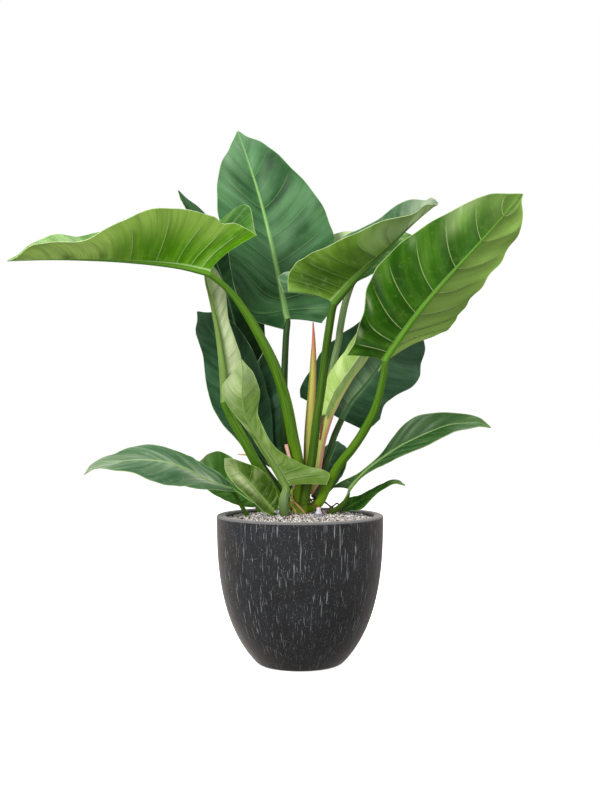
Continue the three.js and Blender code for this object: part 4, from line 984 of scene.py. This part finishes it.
def lathe(name, profile, segments):
    """Spins a profile of (radius, height) in millimetres. The ends lie on the axis."""
    deselect()
    edges = [(i, i + 1) for i in range(len(profile) - 1)]
    piece = new_piece(name, [(0, -r * MM, z * MM) for r, z in profile], edges, [])
    pick(piece)
    bpy.ops.object.mode_set(mode="EDIT")
    bpy.ops.mesh.select_all(action="SELECT")
    bpy.ops.mesh.spin(steps=segments, angle=2 * math.pi, center=(0, 0, 0), axis=(0, 0, 1))
    bpy.ops.mesh.select_all(action="SELECT")
    bpy.ops.mesh.remove_doubles(threshold=1e-6)
    bpy.ops.mesh.normals_make_consistent(inside=False)
    bpy.ops.object.mode_set(mode="OBJECT")
    return piece


foot_step = pot_radius(FOOT_ROUND) - FOOT_RADIUS
foot = [(FOOT_RADIUS + foot_step * share, FOOT_ROUND * share**FOOT_POWER)
        for share in (0, 0.15, 0.3, 0.48, 0.65, 0.81, 0.92)]
belly = [(pot_radius(z), z) for z in np.linspace(FOOT_ROUND, RIM_HEIGHT - OUTER_TURN, 70)]
outer_turn = [(RIM_RADIUS - OUTER_TURN + OUTER_TURN * math.cos(a),
               RIM_HEIGHT - OUTER_TURN + OUTER_TURN * math.sin(a))
              for a in np.radians((15, 30, 45, 60, 75, 90))]
inner_turn = [(RIM_RADIUS - WALL + INNER_TURN - INNER_TURN * math.sin(a),
               RIM_HEIGHT - INNER_TURN + INNER_TURN * math.cos(a)) for a in np.radians((0, 30, 60, 90))]
inner = [(pot_radius(z) - WALL, z) for z in np.linspace(RIM_HEIGHT - 7, FLOOR_HEIGHT, 24)]
pot = lathe("planter", [(0, 0)] + foot + belly + outer_turn + inner_turn + inner + [(0, FLOOR_HEIGHT)], 144)
x, y, z = points_of(pot).T
turn = np.arctan2(y, x)
down = z - 0.35 * (RIM_RADIUS * MM - np.hypot(x, y))
set_attribute(pot, "wall", np.arange(len(x)), 0.13 * np.cos(turn), 0.13 * np.sin(turn), down)
smooth(pot, 35)

material, tree, shader = new_finish("planter_fibre_clay")
wall, place = attribute(tree, "wall"), object_place(tree)
cloud = noise(tree, place, 16.0, 4.0, 0.6)
faint = noise(tree, wall, 300.0, 2.0, 0.6, stretch=(1, 1, 0.05), shift=(2, 8, 1))
long_streaks = noise(tree, wall, 620.0, 1.0, 0.5, stretch=(1, 1, 0.044))
short_streaks = noise(tree, wall, 660.0, 1.0, 0.5, stretch=(1, 1, 0.1), shift=(3, 1, 2))
where = noise(tree, wall, 26.0, 2.0, 0.6, shift=(7, 3, 5))
specks = noise(tree, place, 520.0, 2.0, 0.6, shift=(1, 5, 3))
bold = calc(tree, "MULTIPLY", soft_step(tree, long_streaks, 0.66, 0.71),
            soft_step(tree, where, 0.36, 0.5, 0.3, 1.0))
small = calc(tree, "MULTIPLY", soft_step(tree, short_streaks, 0.68, 0.73),
             soft_step(tree, where, 0.6, 0.45, 0.4, 1.0))
colour = coats(
    tree, tone(11, 12, 14),
    (soft_step(tree, cloud, 0.35, 0.68), (27, 29, 34)),
    (soft_step(tree, faint, 0.56, 0.74, 0.0, 0.12), (112, 112, 114)),
    (calc(tree, "MULTIPLY", bold, 0.8), (156, 158, 162)),
    (calc(tree, "MULTIPLY", small, 0.55), (134, 136, 142)),
    (soft_step(tree, specks, 0.63, 0.7, 0.0, 0.55), (150, 150, 150)),
    # the rim top painted light grey: partly its own grey, partly painted light from above
    (soft_step(tree, split(tree, place)[2], 0.246, 0.2475, 0.0, 0.9), (112, 111, 112)),
)
relief = calc(tree, "MULTIPLY_ADD", cloud, 0.4, calc(tree, "SUBTRACT", specks, bold))
finish_with(tree, shader, colour, soft_step(tree, cloud, 0.3, 0.7, 0.72, 0.88), relief, 0.0003)
shader.inputs["Sheen Weight"].default_value = 0.42
shader.inputs["Sheen Roughness"].default_value = 0.4
shader.inputs["Sheen Tint"].default_value = (0.9, 0.8, 0.72, 1)
pot.data.materials.append(material)
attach(pot, "root")
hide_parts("pot")
print("planter faces:", len(pot.data.polygons))

# %% [markdown]
# ## The granules
#
# The planter is filled with mineral grains of two to four millimetres, most of them pale grey
# and white, some tan and brown. One small faceted grain is modelled from an icosphere and
# copied thousands of times, each copy with its own turn, size and shade. Only the top layer is
# seen, so the solid below it stays as the body of the fill, with a gritty finish.

# %% Granules
GRAINS = 6400
FILL_RADIUS, FILL_HEIGHT, HEAP = 122.5, 243.4, 8
luck = np.random.default_rng(11)
deselect()
bpy.ops.mesh.primitive_ico_sphere_add(subdivisions=1, radius=1.0)
grain = bpy.context.object
corners = np.array([vertex.co[:] for vertex in grain.data.vertices])
faces = np.array([polygon.vertices[:] for polygon in grain.data.polygons])
bpy.data.objects.remove(grain)
around = luck.uniform(0, 2 * np.pi, GRAINS)
ring = np.sqrt(luck.uniform(0, 1, GRAINS))
radius = ring * FILL_RADIUS
height = FILL_HEIGHT + HEAP * (1 - ring**2) + luck.uniform(-1.2, 1.2, GRAINS)
centre = np.stack([radius * np.cos(around), radius * np.sin(around), height], -1)
size = luck.uniform(0.9, 1.8, (GRAINS, 1)) * luck.uniform(0.7, 1.2, (GRAINS, 3))
turns = np.linalg.qr(luck.normal(size=(GRAINS, 3, 3)))[0]
lumps = corners * luck.uniform(0.8, 1.15, (GRAINS, len(corners), 1)) * size[:, None]
points = np.einsum("nij,nkj->nki", turns, lumps) + centre[:, None]
all_faces = faces[None] + (np.arange(GRAINS) * len(corners))[:, None, None]
top = new_piece("granules_top", (points.reshape(-1, 3) * MM).tolist(), [], all_faces.reshape(-1, 3).tolist())
shade = np.repeat(luck.uniform(0, 1, GRAINS), len(corners))
set_attribute(top, "shade", np.arange(len(shade)), shade, shade, shade)
smooth(top, 28)


def grit(name, by_grain):
    """Mineral colours, one for each grain or, on the bed below, by a fine noise."""
    material, tree, shader = new_finish(name)
    place = object_place(tree)
    shade = split(tree, attribute(tree, "shade"))[0] if by_grain else noise(tree, place, 480.0, 1.0, 0.5)
    minerals = put(tree, "ValToRGB", {0: shade})
    stops = minerals.color_ramp.elements
    stops[0].position, stops[0].color = 0.0, tone(48, 34, 28)
    stops[1].position, stops[1].color = 1.0, tone(238, 236, 234)
    for position, colour in ((0.2, (84, 64, 50)), (0.36, (138, 120, 106)), (0.5, (186, 182, 180)),
                             (0.7, (222, 214, 206)), (0.85, (248, 248, 252))):
        stops.new(position).color = tone(*colour)
    dust = noise(tree, place, 1400.0, 2.0, 0.6)
    colour = coats(tree, minerals.outputs[0], (soft_step(tree, dust, 0.35, 0.7, 0.15, 0.0), (120, 108, 98)))
    finish_with(tree, shader, colour, soft_step(tree, dust, 0.3, 0.7, 0.8, 0.95), dust, 0.0003)
    return material


top.data.materials.append(grit("granule_grains", True))
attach(top, "root")
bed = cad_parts["granules"]
bed.data.materials.clear()
bed.data.materials.append(grit("granule_bed", False))
print("grains:", GRAINS, "faces:", len(top.data.polygons))

# %% [markdown]
# ## Stem, sheaths and roots
#
# The stem is short, green and knobbly, ringed by the scars of shed leaves. Pink and red
# sheaths stand where young leaves came out, and thin roots bend down into the granules. All
# are tubes along their own lines, swollen where the real ones are.

# %% Stem, sheaths and roots
STEM_FOOT, STEM_LENGTH, STEM_RADIUS = 160, 140, 17
SCAR_PITCH, CROWN_START, CROWN_HEIGHT = 15, 120, 26


def stem_shape(angle, share):
    height = STEM_FOOT + STEM_LENGTH * share
    scars = 0.07 * np.sin(2 * np.pi * height / SCAR_PITCH + 2 * angle)
    return 1 + scars + 0.05 * np.sin(5 * angle + 9 * share)


def stem_radius(share):
    into_crown = np.maximum(share * STEM_LENGTH - CROWN_START, 0) / CROWN_HEIGHT
    return STEM_RADIUS * np.sqrt(np.clip(1 - into_crown**2, 0.02, 1))


stem_line = Line([(0, 9, height) for height in (160, 200, 240, 270, 300)])
stem = tube("stem_dressed", stem_line, stem_radius, 40, 90, stem_shape)
stem.data.materials.append(
    stalk_finish("stem_green", (150, 184, 40), (112, 148, 20), (206, 220, 110), 0.5, (140, 86, 40)))
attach(stem, "root")
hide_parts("stem")


def sheath_finish(name, left, middle, right, foot, tip):
    """Colours across the sheath, and at its foot and tip."""
    material, tree, shader = new_finish(name)
    skin = attribute(tree, "skin")
    side = split(tree, skin)[0]
    along = split(tree, attribute(tree, "share"))[0]
    fibres = noise(tree, skin, 14.0, 2.0, 0.6)
    colour = coats(
        tree, tone(*left),
        (soft_step(tree, side, -0.75, -0.35), middle),
        (soft_step(tree, side, 0.45, 0.7), right),
        (soft_step(tree, along, 0.0, 0.22, 0.8, 0.0), foot),
        (soft_step(tree, along, 0.72, 0.95, 0.0, 0.9), tip),
        (soft_step(tree, fibres, 0.5, 0.8, 0.0, 0.35), middle),
    )
    finish_with(tree, shader, colour, soft_step(tree, fibres, 0.3, 0.7, 0.42, 0.55), fibres, 0.0003)
    return material


SHEATH_TONES = {
    "sheath_spear": ("sheath_pink", "spear_skin", (140, 132, 40), (184, 180, 82), (222, 150, 92),
                     (128, 62, 38), (206, 92, 78)),
    "sheath_stub": ("sheath_pink", "stub_skin", (232, 176, 160), (238, 192, 172), (226, 158, 140),
                    (214, 160, 120), (236, 180, 164)),
    "sheath_red_tip": ("sheath_red", "red_tip_skin", (112, 44, 34), (142, 62, 48), (112, 44, 34),
                       (90, 34, 26), (120, 60, 44)),
    "sheath_dry_scrap": ("sheath_dry", "scrap_skin", (200, 158, 92), (214, 176, 110), (186, 142, 78),
                         (190, 150, 90), (222, 190, 130)),
}
for name, (points, radii) in SHEATHS.items():
    slot_name, *tones = SHEATH_TONES[name]
    piece = tube(name + "_dressed", Line(points), tapered(radii), 18, 50)
    piece.data.materials.append(sheath_finish(*tones))
    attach(piece, "root")
    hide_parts(name)

ROOT_FINISH = {
    "root_pale": stalk_finish(
        "root_pale", (196, 150, 116), (160, 110, 82), (222, 186, 156), 0.6, (120, 70, 48)),
    "root_brown": stalk_finish(
        "root_brown", (112, 74, 50), (78, 48, 32), (150, 108, 76), 0.65, (60, 40, 28)),
}
for name, (points, radii) in ROOTS.items():
    kind = "root_pale" if "pale" in name else "root_brown"
    piece = tube(name + "_dressed", Line(points), tapered(radii), 10, 40,
                 lambda angle, share: 1 + 0.12 * np.sin(40 * share + 2 * angle))
    piece.data.materials.append(ROOT_FINISH[kind])
    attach(piece, "root")
    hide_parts(name)
print("sheaths and roots:", len(SHEATHS) + len(ROOTS))

# %% [markdown]
# ## The water gauge
#
# A small milky gauge stands in the granules on the right: a flange, a cone and a neck with a
# red pointer in its top. It is turned on the lathe like the planter, and set in its place.

# %% Gauge
GAUGE_X, GAUGE_Y = 31, -34
gauge = lathe("gauge_dressed", [
    (0, 40), (5.5, 40), (6, 40.5), (6, 251.2), (8.6, 251.2), (9, 251.6), (9, 252.5), (8.6, 253),
    (7.4, 253.4), (6.6, 254.2), (5.8, 255.6), (5.0, 257.2), (4.2, 258.8), (3.7, 259.8), (3.6, 261),
    (3.6, 264.3), (3.3, 264.9), (2.8, 265), (2.1, 264.8), (2.1, 259), (0, 259)], 48)
pointer = lathe("pointer_dressed", [
    (0, 259.4), (1.75, 259.4), (1.8, 259.8), (1.8, 265.6), (1.5, 266.2), (0.9, 266.5), (0, 266.5)], 32)
for piece, node, slot_name in ((gauge, "gauge", "gauge_plastic"),
                               (pointer, "gauge_pointer", "gauge_pointer")):
    pick(piece)
    bpy.ops.transform.translate(value=(GAUGE_X * MM, GAUGE_Y * MM, 0))
    bpy.ops.object.transform_apply(location=True, rotation=True, scale=True)
    smooth(piece, 40)
    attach(piece, "root")
    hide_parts(node)


def plastic(name, colour, rough):
    """A slightly cloudy plastic, darker low down where the granules shade it."""
    material, tree, shader = new_finish(name)
    place = object_place(tree)
    cloudy = noise(tree, place, 220.0, 2.0, 0.5)
    low = soft_step(tree, split(tree, place)[2], 0.2535, 0.2565, 1.0, 0.0)
    shade = coats(
        tree, tone(*colour),
        (soft_step(tree, cloudy, 0.3, 0.75), [value * 0.88 for value in colour]),
        (low, [value * 0.58 for value in colour]),
    )
    finish_with(tree, shader, shade, soft_step(tree, cloudy, 0.3, 0.7, rough, rough + 0.1), cloudy, 0.00005)
    return material


gauge.data.materials.append(plastic("gauge_milky", (206, 200, 212), 0.35))
pointer.data.materials.append(plastic("pointer_red", (214, 86, 44), 0.3))
print("gauge top at", round(max(vertex.co.z for vertex in pointer.data.vertices), 4), "m")

# %% [markdown]
# ## Floor and light
#
# The plant stands on a plain pale floor in a white studio. Large soft lamps from the upper
# left, the right and behind shape the leaves. The white surround is bright to the eye, while
# it lights the plant only softly, so that the hollows between the leaves stay dark.

# %% Floor and light
WHITE = (1, 1, 1, 1)
deselect()
bpy.ops.mesh.primitive_plane_add(size=14, location=(0, 0, 0))
floor = bpy.context.object
floor.name = "floor"
material, tree, shader = new_finish("floor_white")
shader.inputs["Base Color"].default_value = (0.93, 0.93, 0.93, 1)
shader.inputs["Roughness"].default_value = 0.9
shader.inputs["Emission Color"].default_value = WHITE
shader.inputs["Emission Strength"].default_value = 0.78
floor.data.materials.append(material)
floor.visible_diffuse = False
floor.visible_glossy = False


def lamp(name, location, size, power, aim=0.5):
    """A square lamp that looks at the plant's axis, at the height aim."""
    deselect()
    bpy.ops.object.light_add(type="AREA", location=location)
    light = bpy.context.object
    light.name = name
    light.data.size = size
    light.data.energy = power
    x, y, z = np.array([0, 0, aim]) - np.array(location)
    light.rotation_euler = (math.atan2(math.hypot(x, y), -z), 0, math.atan2(y, x) - math.pi / 2)


lamp("key", (-1.7, -2.1, 2.3), 1.2, 104)
lamp("fill", (2.3, -1.4, 1.2), 1.6, 26)
lamp("top", (0.2, 0.6, 2.8), 1.6, 34)
lamp("back_left", (-2.2, 1.3, 1.2), 1.2, 16)
lamp("low", (-0.35, -1.7, 0.3), 0.9, 9, aim=0.32)
lamp("back_right", (2.2, 1.5, 1.4), 1.2, 16)

world = bpy.data.worlds.new("studio")
bpy.context.scene.world = world
world.use_nodes = True
tree = world.node_tree
background = tree.nodes["Background"]
background.inputs["Color"].default_value = WHITE
background.inputs["Strength"].default_value = 0.24
seen = put(tree, "Background", {"Color": WHITE, "Strength": 1.0})
by_eye = put(tree, "LightPath").outputs["Is Camera Ray"]
choose = put(tree, "MixShader", {0: by_eye, 1: background.outputs[0], 2: seen.outputs[0]})
tree.links.new(choose.outputs[0], tree.nodes["World Output"].inputs["Surface"])
bpy.context.scene.view_settings.view_transform = "Standard"
